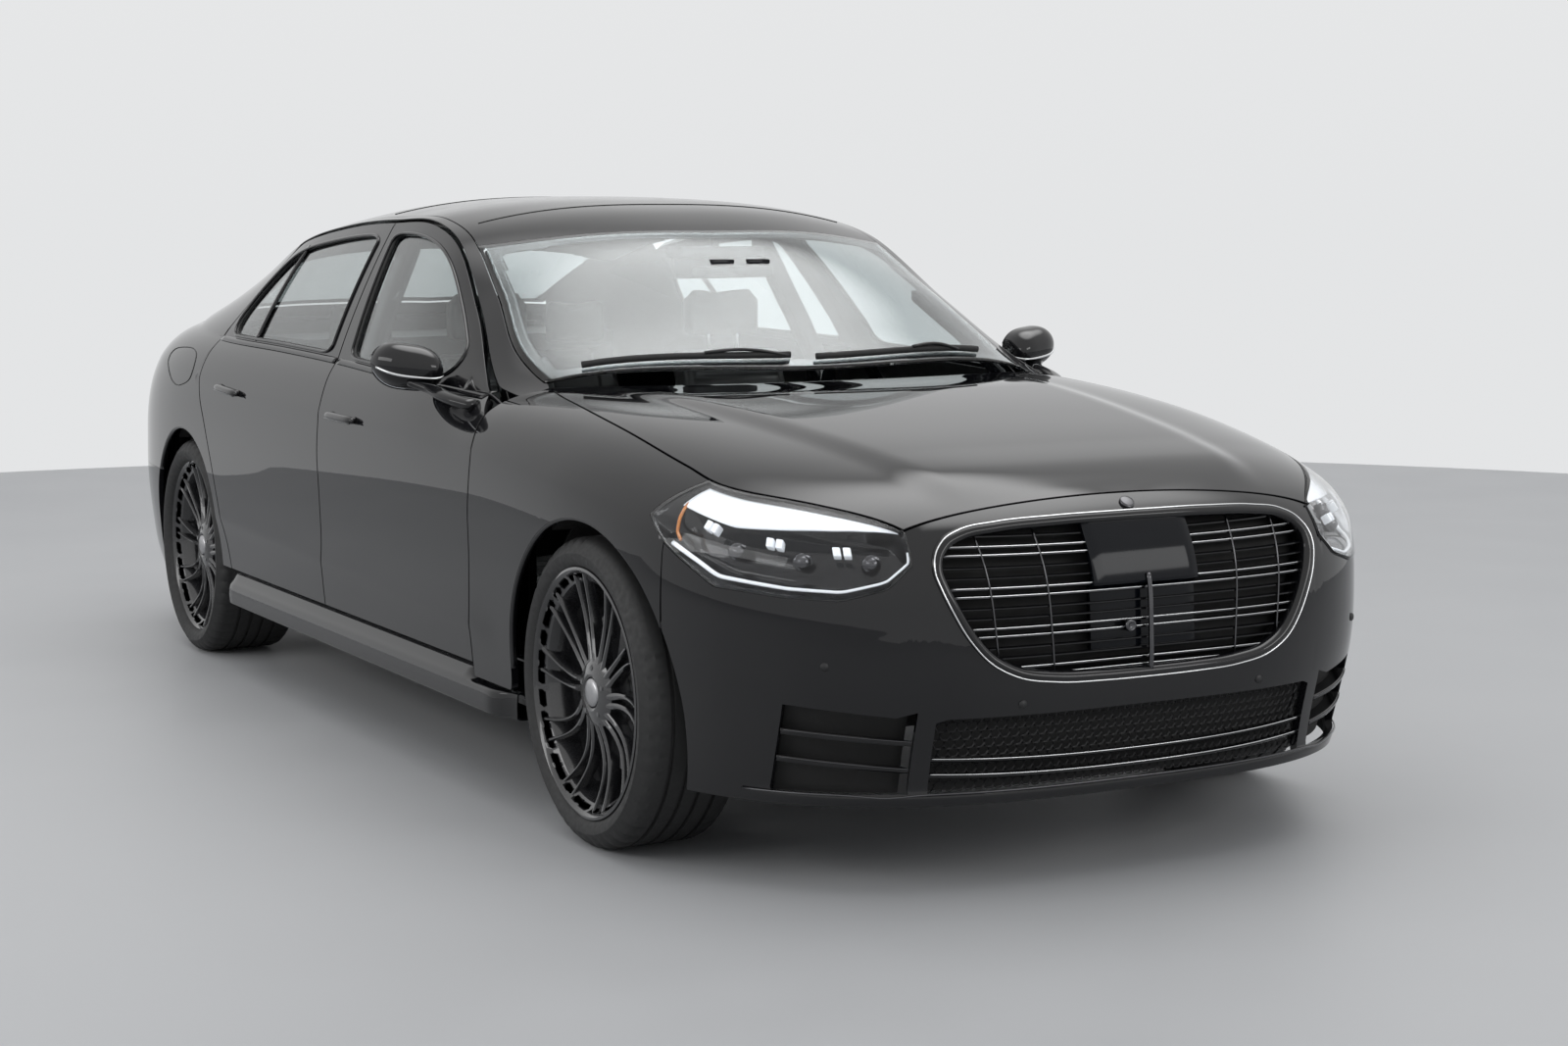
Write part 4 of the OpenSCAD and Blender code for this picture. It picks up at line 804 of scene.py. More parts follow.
def glass_y(x):
    return curve(RAIL_Y, x) - curve(PILLAR, x)


TAIL_X = -2.420
TAIL_BREAK = 0.592


def mid_line(x):
    return np.where(x > -1.7, curve(BELT, x), curve(MID_LINE, x))


def quarter_grids():
    """The lower quarter, fanned round the wheel arch, and the upper part above it."""
    corner_z = float(curve(BELT, -1.2936))
    shut_z = steps(40, SILL, corner_z)
    shut_x = curve(REAR_SHUT, shut_z) - half_gap(REAR_SHUT, shut_z)
    aim = np.arctan2(shut_z - WHEEL_Z, shut_x - REAR_AXLE)
    low_aim = -math.asin((WHEEL_Z - SILL) / ARCH)
    aim = aim + (low_aim - aim[0]) * (1 - steps(40)) ** 4
    finish = math.pi - math.asin((TAIL_BREAK - WHEEL_Z) / ARCH)
    turn = np.concatenate([aim, np.linspace(aim[-1], finish, 44)[1:]])
    arch_x = REAR_AXLE + ARCH * np.cos(turn)
    foot_x = np.concatenate([arch_x, np.linspace(arch_x[-1], TAIL_X, 30)[1:]])
    foot_z = np.concatenate([WHEEL_Z + ARCH * np.sin(turn), np.full(29, TAIL_BREAK)])
    over_x = np.interp(-foot_x[40:], [-foot_x[39], -arch_x[-1], -TAIL_X], [-shut_x[-1], 1.83, -TAIL_X]) * -1
    head_x = np.concatenate([shut_x, over_x])
    head_z = np.concatenate([shut_z, mid_line(over_x)])
    v = steps(44)[:, None]
    x, z = lerp(foot_x[None], head_x[None], v), lerp(foot_z[None], head_z[None], v)
    low = points(x, flank(x, z), z)
    tx, tz = head_x[39:][None], head_z[39:][None]
    w = steps(34)[:, None]
    climb = np.clip(w / 0.8, 0, 1)
    over = np.clip((w - 0.8) / 0.2, 0, 1)
    first, last = float(tx[0, 0]), -1.500
    x = lerp(tx, np.where(tx > last, lerp(last, -1.113, (tx - last) / (first - last)), tx), w)
    edge_z = lerp(corner_z, float(curve(RAIL_Z, -1.113)), climb)
    edge_x = lerp(line(PILLAR_FRONT, edge_z), -1.113, over)
    x = x + (1 - np.minimum((first - tx) / 0.06, 1)) * (edge_x - x)
    z1 = lerp(tz, curve(RAIL_Z, x), climb)
    y1 = np.where(z1 < curve(BELT, x), flank(x, z1), house(x, z1))
    y2 = lerp(curve(RAIL_Y, x), glass_y(x), over)
    pillar = points(x, np.where(over > 0, y2, y1), np.where(over > 0, crown(x, y2), z1))
    edge = line(mm((-2560, 592), (-2420, 605), (-2400, 607), (-2300, 634), (-2200, 642), (-2000, 648)), x)
    y3 = lerp(side(x, np.broadcast_to(tz, x.shape)), edge, w)
    deck = points(x, y3, top(x, y3))
    blend = ease((-1.97 - x) / 0.07)[..., None]
    return low, pillar * (1 - blend) + deck * blend


def strip_grid():
    x = np.concatenate([np.linspace(1.096, 0.94, 20), np.linspace(0.93, -1.112, 110)])
    o = np.where(x > 0.985, lerp(float(curve(RAIL_Y, 0.985)), 0.785, (x - 0.985) / 0.111), curve(RAIL_Y, x))
    inner = np.where(x > 1.07, curve(HOOD_Y, x) + HALF, glass_y(x))
    y = lerp(o[None], inner[None], steps(9)[:, None])
    return points(np.broadcast_to(x, y.shape), y, crown(np.broadcast_to(x, y.shape), y))


FLAP = mm((-1842, 1004), (-1432, 1020), (-1354, 917), (-1585, 877))


def softened(corners, times=3):
    """A closed run of points with its corners cut back a few times."""
    P = np.array(corners)
    for _ in range(times):
        Q = np.roll(P, -1, 0)
        P = np.stack([lerp(P, Q, 0.22), lerp(P, Q, 0.78)], 1).reshape(-1, P.shape[1])
    return P


BEAMS = (
    ((0.060, 0.110, 0.110), mm((1110, 760, 285), (0, 770, 285), (-960, 770, 285))),
    ((0.060, 0.060, 0.060), mm((1020, 770, 300), (1010, 765, 640), (985, 748, 900))),
    ((0.046, 0.030, 0.030), mm((985, 748, 900), (960, 765, 960), (800, 730, 1070), (600, 668, 1205))),
    ((0.090, 0.060, 0.060), mm((-120, 770, 300), (-150, 768, 700), (-165, 765, 960))),
    ((0.070, 0.036, 0.040), mm((-165, 765, 960), (-205, 668, 1180), (-225, 585, 1360))),
    ((0.060, 0.060, 0.060), mm((-950, 770, 300), (-972, 770, 430))),
)


def structure(label, s):
    """Sill, hinge pillar, windscreen pillar, middle pillar and rear post, as bevelled beams."""
    bm = bmesh.new()
    for size, path in BEAMS:
        half = Vector(size) / 2
        knots = [Vector((q[0], q[1] * s, q[2])) for q in path]
        for a, b in zip(knots, knots[1:]):
            part = hull_of([(a - half, a + half), (b - half, b + half)], 0)
            bmesh.ops.dissolve_limit(part, angle_limit=math.radians(1), verts=part.verts, edges=part.edges)
            bmesh.ops.bevel(part, geom=part.edges[:], offset=0.005, affect="EDGES", segments=2, profile=0.5,
                            material=-1)
            beam = bpy.data.meshes.new("beam")
            part.to_mesh(beam)
            part.free()
            bm.from_mesh(beam)
            bpy.data.meshes.remove(beam)
    sharpen(finish_object(bm, f"structure_{label}", MATERIALS["paint"], "body"))


def build_sides():
    # the fuel flap's outline: a thin dark rubber ring, raised a little from the flank, is painted shade
    # standing in for the shade in the flap's gap
    x, z = softened(FLAP).T
    tubes("fuel_flap_gap_shade", [sided(points(x, flank(x, z) + 0.0002, z), -1)], 0.0018, MATERIALS["rubber"],
          "body",
          segments=6, closed=True)
    paint = MATERIALS["paint"]
    fender, strip = fender_grid(), strip_grid()
    low, high = quarter_grids()
    for label, s in SIDES:
        out = (0, s, 0.2)
        skin(f"fender_{label}", sided(fender, s), paint, "body", out, wall=0.018,
             stands=("front_fenders",) if s == 1 else ())
        skin(f"quarter_{label}", [sided(low, s), sided(high, s)], paint, "body", out,
             wall=0.016, stands=("side_frames",) if s == 1 else ())
        skin(f"roof_rail_{label}", sided(strip, s), paint, "body", (0, s, 1), wall=0.004)
        # side skirt under the doors, standing proud of them
        x = np.linspace(1.352, -1.035, 90)
        ends = ease((1.352 - x) / 0.10) * ease((x + 1.035) / 0.10)
        lid = lerp(0.328, 0.293, ease((x - 1.085) / 0.03))
        profile = ((0.905, None, 0.004), (0.918, None, 0.0), (0.940, 0.300, 0.0), (0.953, 0.285, 0.0),
                   (0.958, 0.262, 0.0), (0.957, 0.236, 0.0), (0.951, 0.226, 0.0), (0.90, 0.222, 0.0), (0.84,
                           0.226, 0.0))
        rows = []
        for y, z, drop in profile:
            zz = lid - drop if z is None else np.minimum(z + 0 * x, lid - 0.004)
            rows.append(points(x, lerp(0.905, y, 0.35 + 0.65 * ends) + 0 * x if y > 0.905 else y + 0 * x, zz))
        skirt = np.stack(rows)
        skirt = points(*[np.stack([curve(np.stack([steps(len(rows)), skirt[:, j, k]], -1), steps(26))
                                   for j in range(len(x))], 1) for k in range(3)])
        skin(f"side_skirt_{label}", sided(skirt, s), MATERIALS["gloss_black"], "body",
             (0, s, 0),
             wall=0.004, stands=("sill_skirts",) if s == 1 else ())
        # rolled lip round each arch
        for tag, centre, a0, a1 in (("front", FRONT_AXLE, 0, 151), ("rear", REAR_AXLE, -3, 143.8)):
            a = np.radians(np.linspace(a0, a1, 70))
            d = -1 if tag == "front" else 1
            x = centre + d * (ARCH - 0.001) * np.cos(a)
            z = WHEEL_Z + (ARCH - 0.001) * np.sin(a)
            lip = points(x, flank(x, z) - 0.007, z)
            tubes(f"arch_lip_{tag}_{label}", [sided(lip, s)], 0.0065, paint, "body",
                  segments=10)
        structure(label, s)


# ---- roof, windscreen and rear window ----
def across(x, c, inset):
    y = c * (glass_y(x) - inset)
    return points(x, y, crown(x, y))


def bowed(x0, x1, c):
    return lerp(x0, x1, c * c)


def screen_grid(nu=64, nv=40, grow=0.0):
    u, v = mesh_uv(nu, nv)
    c = u * 2 - 1
    v = lerp(grow, 1 - grow, v)
    return across(lerp(bowed(0.592, 0.420, c) + SEAM, bowed(1.184, 1.062, c), v), c * (1 - grow), 0.0035)


def rear_screen_grid(nu=64, nv=34, grow=0.0):
    u, v = mesh_uv(nu, nv)
    c = u * 2 - 1
    v = lerp(grow, 1 - grow, v)
    return across(lerp(-1.990, bowed(-1.420, -1.360, c) - SEAM, v), c * (1 - grow), 0.0035)


def border(P, width_u, width_v, corner=0.5):
    """Cells of the band round the edge of a grid, wider at the corners."""
    rows, cols = P.shape[0] - 1, P.shape[1] - 1
    u, v = np.meshgrid((np.arange(cols) + 0.5) / cols, (np.arange(rows) + 0.5) / rows)
    du, dv = np.minimum(u, 1 - u) / width_u, np.minimum(v, 1 - v) / width_v
    inside = (np.minimum(du, dv) > 1) & ((du - 1) * (dv - 1) > corner * 0.06)
    return ~inside


def build_roof():
    black = MATERIALS["gloss_black"]
    u, v = mesh_uv(70, 90)
    c = u * 2 - 1
    roof = across(lerp(bowed(-1.420, -1.360, c), bowed(0.592, 0.420, c), v), c, 0.0032)
    skin("roof_panel", roof, black, "body", (0, 0, 1), wall=0.006, stands=("roof",))
    lining = across(lerp(bowed(-1.40, -1.34, c), bowed(0.57, 0.40, c), v), c * 0.985, 0.006) - points(0, 0,
            0.034)
    skin("headliner", lining, MATERIALS["headliner"], "body", (0, 0, -1), wall=0.004)
    glass, rear = screen_grid(), rear_screen_grid()
    skin("windscreen_glass", glass, MATERIALS["screen_glass"], "body", (1, 0, 1), wall=0.0045,
         rim=0, stands=("windscreen",))
    skin("rear_glass", rear, MATERIALS["tinted_glass"], "body", (-1, 0, 1), wall=0.0045, rim=0,
         stands=("rear_window",))
    fine = screen_grid(160, 100, 0.002) - points(0.004, 0, 0.0055)
    skin("windscreen_border", fine, black, "body", (1, 0, 1), wall=0.0008, rim=0,
         keep=border(fine, 0.034, 0.075))
    fine = rear_screen_grid(160, 90, 0.002) - points(-0.003, 0, 0.0055)
    skin("rear_glass_border", fine, black, "body", (-1, 0, 1), wall=0.0008, rim=0,
         keep=border(fine, 0.04, 0.07))
    # panoramic roof seams and the aerial fin
    seams = [across(np.full(50, x), steps(50, -0.93, 0.93), 0.004) + points(0, 0, 0.0004) for x in (0.28,
            -0.42, -1.16)]
    tubes("roof_seams", seams, 0.0016, MATERIALS["rubber"], "body", segments=6)
    x = np.linspace(-1.235, -1.395, 14)
    rise = 0.052 * np.sin(np.pi * np.clip((x + 1.235) / -0.16, 0, 1) ** 0.75) ** 0.8
    base = crown(x, 0 * x)
    w = np.linspace(0, np.pi, 12)
    P = np.stack([points(x, 0.019 * np.cos(a) * (rise / 0.052 * 0.5 + 0.5),
                         base - 0.004 + rise * np.sin(a) ** 0.6)
                  for a in w])
    skin("roof_aerial", P, black, "body", (0, 0, 1), wall=0.002, rim=0)
    # cowl under the windscreen's foot, and the wipers resting on the glass
    u, v = mesh_uv(60, 8)
    c = (u * 2 - 1) * 0.985
    x = lerp(bowed(1.150, 1.036, c), bowed(1.188, 1.082, c), v)
    y = c * (glass_y(np.minimum(x, 1.15)) - 0.004)
    skin("cowl", points(x, y, np.minimum(crown(x, y), 1.02) - 0.016 - 0.006 * np.sin(math.pi * v)),
         MATERIALS["satin_plastic"], "body", (0, 0, 1), wall=0.004)
    blades, arms = [], []
    for a, b, pivot in ((-0.86, -0.08, -0.10), (0.02, 0.80, 0.74)):
        c = steps(40, a, b)
        x = lerp(bowed(0.592, 0.420, c), bowed(1.184, 1.062, c), 0.945 - 0.02 * (c - a))
        blades.append(across(x, c, 0.0035) + points(0.004, 0, 0.010))
        mid = blades[-1][22] + np.array([0.004, 0, 0.008])
        root = np.array([1.150 - 0.10 * pivot**2, pivot * 0.66, 0])
        root[2] = float(crown(root[0], root[1])) + 0.012
        bow = np.linspace(root, mid, 12)
        bow[:, 2] += 0.012 * np.sin(math.pi * steps(12))
        arms.append(bow)
    tubes("wiper_blades", blades, 0.0055, MATERIALS["rubber"], "body", segments=8, flat=1.6)
    tubes("wiper_arms", arms, 0.0065, MATERIALS["satin_plastic"], "body", segments=8,
          flat=0.7)
    # panel between the rear window's foot and the boot lid
    u, v = mesh_uv(50, 6)
    y = (u * 2 - 1) * 0.634
    z = lerp(crown(np.full(y.shape, -1.988), y), top(np.full(y.shape, -2.032), y), ease(v)) - 0.012
    skin("rear_cowl", points(lerp(-1.985, -2.024, v), y, z), black, "body", (-1, 0, 1),
         wall=0.003)
    # driver-assistance housing behind the windscreen, and the inner mirror
    boxes = []
    for y, w2, x0 in ((0, 0.13, 0.60), (0, 0.10, 0.70)):
        z = float(crown(x0 + 0.03, 0)) - 0.034
        boxes.append(((x0 - 0.05, -w2, z - 0.028), (x0 + 0.06, w2, z + 0.004)))
    blocks("camera_housing", boxes, MATERIALS["satin_plastic"], "body", 0.010)
    eyes = [((0.735, y - 0.035, 1.300), (0.762, y + 0.035, 1.318)) for y in (-0.055, 0.055)]
    blocks("camera_windows", eyes, MATERIALS["screen"], "body", 0.004)
    blocks("inner_mirror", [((0.56, -0.115, 1.262), (0.585, 0.115, 1.322)),
                            ((0.58, -0.012, 1.31), (0.61, 0.012, 1.375))],
           MATERIALS["satin_plastic"], "body", 0.008)


# ---- hood and boot lid ----
def hood_grid(nu=90, nv=80):
    u, v = mesh_uv(nu, nv)
    c = u * 2 - 1
    xs = lerp(1.092, 2.500, v)
    y = c * (curve(HOOD_Y, xs) - HALF)
    x = xs + (1 - c * c) * lerp(0.105, 0.022, v)
    P = points(x, y, top(x, y))
    ridge_y = lerp(0.60, 0.40, v)
    dome = ease((ridge_y + 0.045 - np.abs(y)) / 0.09) * 0.012
    fade = ease(v / 0.25) * ease((1 - v) / 0.12) * ease((1 - np.abs(c)) / 0.12)
    P[..., 2] += dome * fade
    return P


def lid_edge(a):
    return line(((72, 0.646), (107, 0.640), (130, 0.600), (177, 0.560)), a)


def lid_grid(nu=70, nv=70):
    u, v = mesh_uv(nu, nv)
    c = u * 2 - 1
    a = lerp(72, 176.2, v)
    y = c * (lid_edge(a) - HALF - 0.003)
    w = np.radians(a)
    P = on_skin(points(-2.16 + 0.4 * np.cos(w), y, 0.72 + 0.4 * np.sin(w)), points(-2.16, y, 0.72))
    lip = np.exp(-((a - 122) / 7) ** 2) * ease((1 - np.abs(c)) / 0.1) * 0.010
    return lifted(P, 0) + points(-lip, 0, lip)


def build_lids():
    paint = MATERIALS["paint"]
    skin("hood_panel", hood_grid(), paint, "hood", (0, 0, 1), wall=0.012, stands=("hood",))
    under = hood_grid(40, 36)[2:-2, 2:-2] - points(0, 0, 0.016)
    k = (np.sin(np.arange(36 - 4) * 0.7)[:, None] * np.sin(np.arange(40 - 4) * 0.6)[None]) ** 2 * 0.012
    skin("hood_liner", under - k[..., None] * np.array([0, 0, 1]), MATERIALS["liner"], "hood",
         (0, 0, -1), wall=0.004)
    blocks("hood_arms", [((1.110 + SHIFT, y, 0.900), (1.138 + SHIFT, y + 0.03, 0.985)) for y in (-0.64,
            0.61)],
           MATERIALS["chassis"], "hood", 0.003)
    skin("boot_lid_panel", lid_grid(), paint, "boot_lid", (-1, 0, 1), wall=0.014,
         stands=("boot_lid",))
    inner = lifted(lid_grid(40, 40)[2:-2, 3:-3], 0)
    n = np.cross(np.gradient(inner, axis=1), np.gradient(inner, axis=0))
    n /= np.linalg.norm(n, axis=-1, keepdims=True)
    n *= np.sign((n * np.array([-1, 0, 1])).sum())
    skin("boot_lid_lining", inner - n * 0.018, MATERIALS["carpet"], "boot_lid", (1, 0, -1),
         wall=0.004)
    arms = []
    for y in (-0.53, 0.50):
        arms += [((-2.075, y, 1.040), (-1.965, y + 0.03, 1.062)),
                 ((-2.075, y, 1.040), (-2.045, y + 0.03, 1.085))]
    blocks("boot_lid_arms", [((a[0] + SHIFT, *a[1:]), (b[0] + SHIFT, *b[1:])) for a, b in arms],
           MATERIALS["chassis"], "boot_lid", 0.003)


# ---- nose ----


def lamp_low(y):
    return line(((0.533, 0.712), (0.588, 0.662), (0.672, 0.637), (0.760, 0.640), (0.840, 0.652)), y)


def lamp_low_x(x):
    return line(((2.118, 0.733), (2.240, 0.668), (2.290, 0.650)), x)


GRILLE_HALF = mm((0, 448), (120, 449), (240, 454), (330, 470), (390, 502), (432, 548), (466, 606), (489, 660),
                 (497.5, 695), (491, 728), (466, 758), (420, 779), (340, 791), (200, 798), (0, 800))
GRILLE_WIDE = 0.4975


def half_outline(n=160):
    """The right half of the grille's opening, from the bottom middle round to the top."""
    d = np.concatenate([[0], np.cumsum(np.linalg.norm(np.diff(GRILLE_HALF, axis=0), axis=1))])
    t = np.linspace(0, d[-1], n)
    return np.stack([curve(np.stack([d, GRILLE_HALF[:, k]], -1), t) for k in (0, 1)], -1)


def grille_low(y):
    p = half_outline()
    k = int(p[:, 0].argmax())
    return np.interp(y, p[:k + 1, 0], p[:k + 1, 1])


def grille_high(y):
    p = half_outline()
    k = int(p[:, 0].argmax())
    return np.interp(y, p[:k - 1:-1, 0], p[:k - 1:-1, 1])


def hood_front(y):
    """Height of the nose cover's edge, a gap ahead of the hood's front edge."""
    x = 2.500 + GAP + (1 - (y / (0.533 - HALF)) ** 2) * 0.022
    return top(x, y)


def nose_rows(y):
    """Heights of the nine row lines at a distance from the middle."""
    t = np.clip((y - 0.498) / 0.072, 0, 1)
    hi = np.where(y <= 0.5301, hood_front(np.minimum(y, 0.530)), lamp_low(y) - SEAM)
    a = np.where(y < 0.499, grille_low(y), lerp(0.690, 0.520, t))
    b = np.where(y < 0.499, np.maximum(grille_high(y), a + 0.002), lerp(0.692, 0.580, t))
    lip, foot, middle = (np.full(np.shape(y), h) for h in (LIP, 0.224, 0.300))
    net_top = line(((0, 0.388), (0.47, 0.386), (0.57, 0.350), (0.90, 0.372)), y)
    intake_top = line(((0, 0.425), (0.40, 0.425), (0.498, 0.412), (0.57, 0.392), (0.77, 0.418),
                       (0.90, 0.430)), y)
    return np.stack([lip, foot, middle, net_top, np.minimum(intake_top, a - 0.012), a, lerp(a, b, 0.5), b,
                     hi])


def nose_grid():
    """Half of the nose cover: rows from the lip up, columns from the middle to the wheel arch."""
    y = np.concatenate([np.linspace(0, 0.40, 44)[:-1], 0.40 + 0.098 * np.sin(steps(22) * math.pi / 2)[:-1],
                        np.linspace(0.498, 0.530, 6)[:-1], np.linspace(0.530, 0.570, 7)[:-1],
                        np.linspace(0.570, 0.760, 26)[:-1], np.linspace(0.760, 0.840, 12)])
    table = nose_rows(y)
    fine = np.linspace(0, 8, 8 * 7 + 1)
    k = np.minimum(fine.astype(int), 7)
    f = (fine - k)[:, None]
    z = table[k] * (1 - f) + table[k + 1] * f
    yy = np.broadcast_to(y[None], z.shape)
    front = on_skin(points(2.6, yy, z), points(1.7, yy, z), 0.4, 1.1)
    x = np.linspace(2.290, 2.118, 22)[1:]
    r = nose_rows(np.array([0.840]))[:, 0]
    part = (np.interp(fine, range(9), r) - r[0]) / (r[8] - r[0])
    zt = lerp(LIP, lamp_low_x(x)[None] - SEAM, part[:, None])
    arch = FRONT_AXLE + np.sqrt(np.maximum(ARCH**2 - (zt - WHEEL_Z) ** 2, 0)) + SEAM
    start = front[:, -1:, 0]
    u = ((2.290 - x) / (2.290 - 2.118))[None]
    end = np.where(zt > 0.55, 2.118, arch)
    xt = lerp(start, end, u)
    zt = lerp(front[:, -1:, 2], zt, ease(u * 3))
    tail = points(xt, side(xt, zt), zt)
    return np.concatenate([front, tail], 1), y, fine


def whole(P):
    return np.concatenate([sided(P[:, :0:-1], -1), P], 1)


def shaped_nose(P):
    """Draws the splitter out."""
    splitter = ease((0.232 - P[..., 2]) / 0.02) * 0.010
    P = P.copy()
    P[..., 0] += (splitter - 0.004) * ease((P[..., 0] - 2.25) / 0.1)
    return P


def build_nose():
    paint, black = MATERIALS["paint"], MATERIALS["gloss_black"]
    P, y, fine = nose_grid()
    P = shaped_nose(P)
    half_rows = (fine[:-1] + fine[1:]) / 2
    cols = P.shape[1]
    yy = np.concatenate([y, np.full(cols - len(y), 0.9)])
    half_cols = (yy[:-1] + yy[1:]) / 2
    R, C = np.meshgrid(half_rows, half_cols, indexing="ij")
    gone = (R > 5) & (R < 7) & (C < 0.498)
    gone |= (R > 1) & (R < 3) & (C < 0.492)
    gone |= (R > 1) & (R < 4) & (C > 0.530) & (C < 0.760)
    keep = ~np.concatenate([gone[:, ::-1], gone], 1)
    skin("nose_cover", whole(P), paint, "body", (1, 0, 0.2), wall=0.018, rim=0.002, keep=keep,
         stands=("front_bumper",))
    grille(black)
    intakes(black)
    bm = bmesh.new()
    z0, x0 = 0.8125, float(nose_x(np.array(0.0), np.array(0.8125)))
    slope = Vector((float(nose_x(np.array(0.0), np.array(0.806)) - nose_x(np.array(0.0), np.array(0.819))), 0,
                    0.013))
    axis = Vector((slope.z, 0, slope.x)).normalized()
    spun(bm, [(0.0001, 0.0035), (0.012, 0.0033), (0.0165, 0.0024), (0.0172, 0.0), (0.0172, -0.004)], 48,
         (x0 + SHIFT, 0, z0), axis)
    bmesh.ops.recalc_face_normals(bm, faces=bm.faces)
    finish_object(bm, "nose_disc", MATERIALS["dark_chrome"], "body")


def grille_half_width(z):
    """Half-width of the grille opening at a height."""
    y = steps(400, 0, GRILLE_WIDE)
    ok = (grille_low(y) <= z) & (grille_high(y) >= z)
    return float(y[ok].max()) if ok.any() else 0.0


def grille_loop(inset=0.0):
    """The opening's outline as (y, z), counter-clockwise from the bottom middle, set in by a distance."""
    half = half_outline(120)
    loop = np.concatenate([half, (half * np.array([-1, 1]))[::-1][1:-1]])
    t = np.roll(loop, -1, 0) - np.roll(loop, 1, 0)
    n = np.stack([-t[:, 1], t[:, 0]], -1)
    n /= np.maximum(np.linalg.norm(n, axis=1, keepdims=True), 1e-9)
    return loop + n * inset


def at_nose(loop, out=0.0):
    return points(nose_x(loop[..., 0], loop[..., 1]) + out, loop[..., 0], loop[..., 1])


def grille(black):
    chrome, dark = MATERIALS["chrome"], MATERIALS["dark_chrome"]
    ring = [at_nose(np.concatenate([q, q[:1]]), o) for q, o in (
        (grille_loop(-0.001), -0.012), (grille_loop(0.000), 0.003), (grille_loop(0.009), 0.006),
        (grille_loop(0.019), 0.001), (grille_loop(0.025), -0.012), (grille_loop(0.027), -0.045))]
    skin("grille_frame", np.stack(ring), black, "body", (1, 0, 0), wall=0.003, rim=0,
         stands=("grille",))
    tubes("grille_bright_edge", [at_nose(grille_loop(0.0015), 0.0045)], 0.0018, chrome, "body",
          segments=6, closed=True)
    # slats: pairs of thin ones, then a pair with bright edges
    thin, bright = [], []
    for k in range(16):
        z = 0.777 - 0.0205 * k + (0.004 if k % 4 == 3 else 0)
        half = grille_half_width(z) - 0.026
        if half > 0.1:
            y = np.linspace(-half, half, 60)
            path = at_nose(np.stack([y, z - 0.006 * (y / 0.5) ** 2 * (k / 8 - 1)], -1), -0.016)
            (bright if k % 4 > 1 else thin).append(path)
    slats("grille_slats", thin, 0.0028, 0.020, black)
    slats("grille_bright_slats", bright, 0.0036, 0.024, dark)
    tubes("grille_slat_edges", [q + np.array([0.0022, 0, 0.0022]) for q in bright], 0.0011, chrome, "body",
          segments=6)
    posts = []
    for y in (-0.375, -0.245, 0.245, 0.375):
        z = np.linspace(float(grille_low(abs(y))) + 0.02, float(grille_high(abs(y))) - 0.02, 12)
        posts.append(at_nose(np.stack([y * (1 + (z - 0.62) * 0.25), z], -1), -0.013))
    tubes("grille_posts", posts, 0.0022, dark, "body", segments=6)
    # sensor panel, its lower half set back behind the slats, with a centre bar and a camera
    u, v = mesh_uv(30, 60)
    y, z = lerp(-0.137, 0.137, u), lerp(0.505, 0.788, v)
    back = lerp(0.030, 0.009, ease((z - 0.640) / 0.012)) - 0.004 * ease(np.minimum(u, 1 - u) / 0.06)
    skin("sensor_panel", points(nose_x(y, z) - back, y, z), MATERIALS["screen"], "body",
         (1, 0, 0),
         wall=0.02, rim=0.003)
    z = np.linspace(0.462, 0.668, 20)
    tubes("grille_centre_bar", [at_nose(np.stack([0 * z, z], -1), -0.003)], 0.006, dark, "body",
          segments=10)
    bm = bmesh.new()
    spun(bm, [(0.0001, 0.006), (0.006, 0.005), (0.0075, 0.010), (0.012, 0.010), (0.013, 0.0), (0.013, -0.02)],
         32,
         (float(nose_x(np.array(-0.05), np.array(0.560))) + SHIFT - 0.012, -0.05, 0.560), (1, 0, 0))
    bmesh.ops.recalc_face_normals(bm, faces=bm.faces)
    finish_object(bm, "grille_camera", MATERIALS["dark_chrome"], "body")
    u, v = mesh_uv(40, 24)
    w = np.array([grille_half_width(z) for z in lerp(0.452, 0.795, steps(24))])
    y = (u * 2 - 1) * np.maximum(w, 0.05)[:, None] * 0.995
    z = lerp(0.452, 0.795, v)
    skin("grille_backing", points(nose_x(y, z) - 0.062, y, z), MATERIALS["liner"], "body",
         (1, 0, 0), wall=0.003, rim=0)


def slats(name, paths, half_height, depth, material):
    """Flat blades along paths, deeper than they are high."""
    bm = bmesh.new()
    for path in paths:
        rows = [path + np.array([d, 0, h]) for d, h in (
            (0, half_height * 0.5), (-0.003, half_height), (-depth, half_height * 0.6),
            (-depth, -half_height * 0.6), (-0.003, -half_height), (0, -half_height * 0.5), (0,
                    half_height * 0.5))]
        one = grid_bmesh(np.stack(rows))
        temp = bpy.data.meshes.new("slat")
        one.to_mesh(temp)
        one.free()
        bm.from_mesh(temp)
        bpy.data.meshes.remove(temp)
    bmesh.ops.holes_fill(bm, edges=[e for e in bm.edges if e.is_boundary], sides=0)
    bmesh.ops.recalc_face_normals(bm, faces=bm.faces)
    obj = finish_object(bm, name, material, "body")
    sharpen(obj)
    return obj


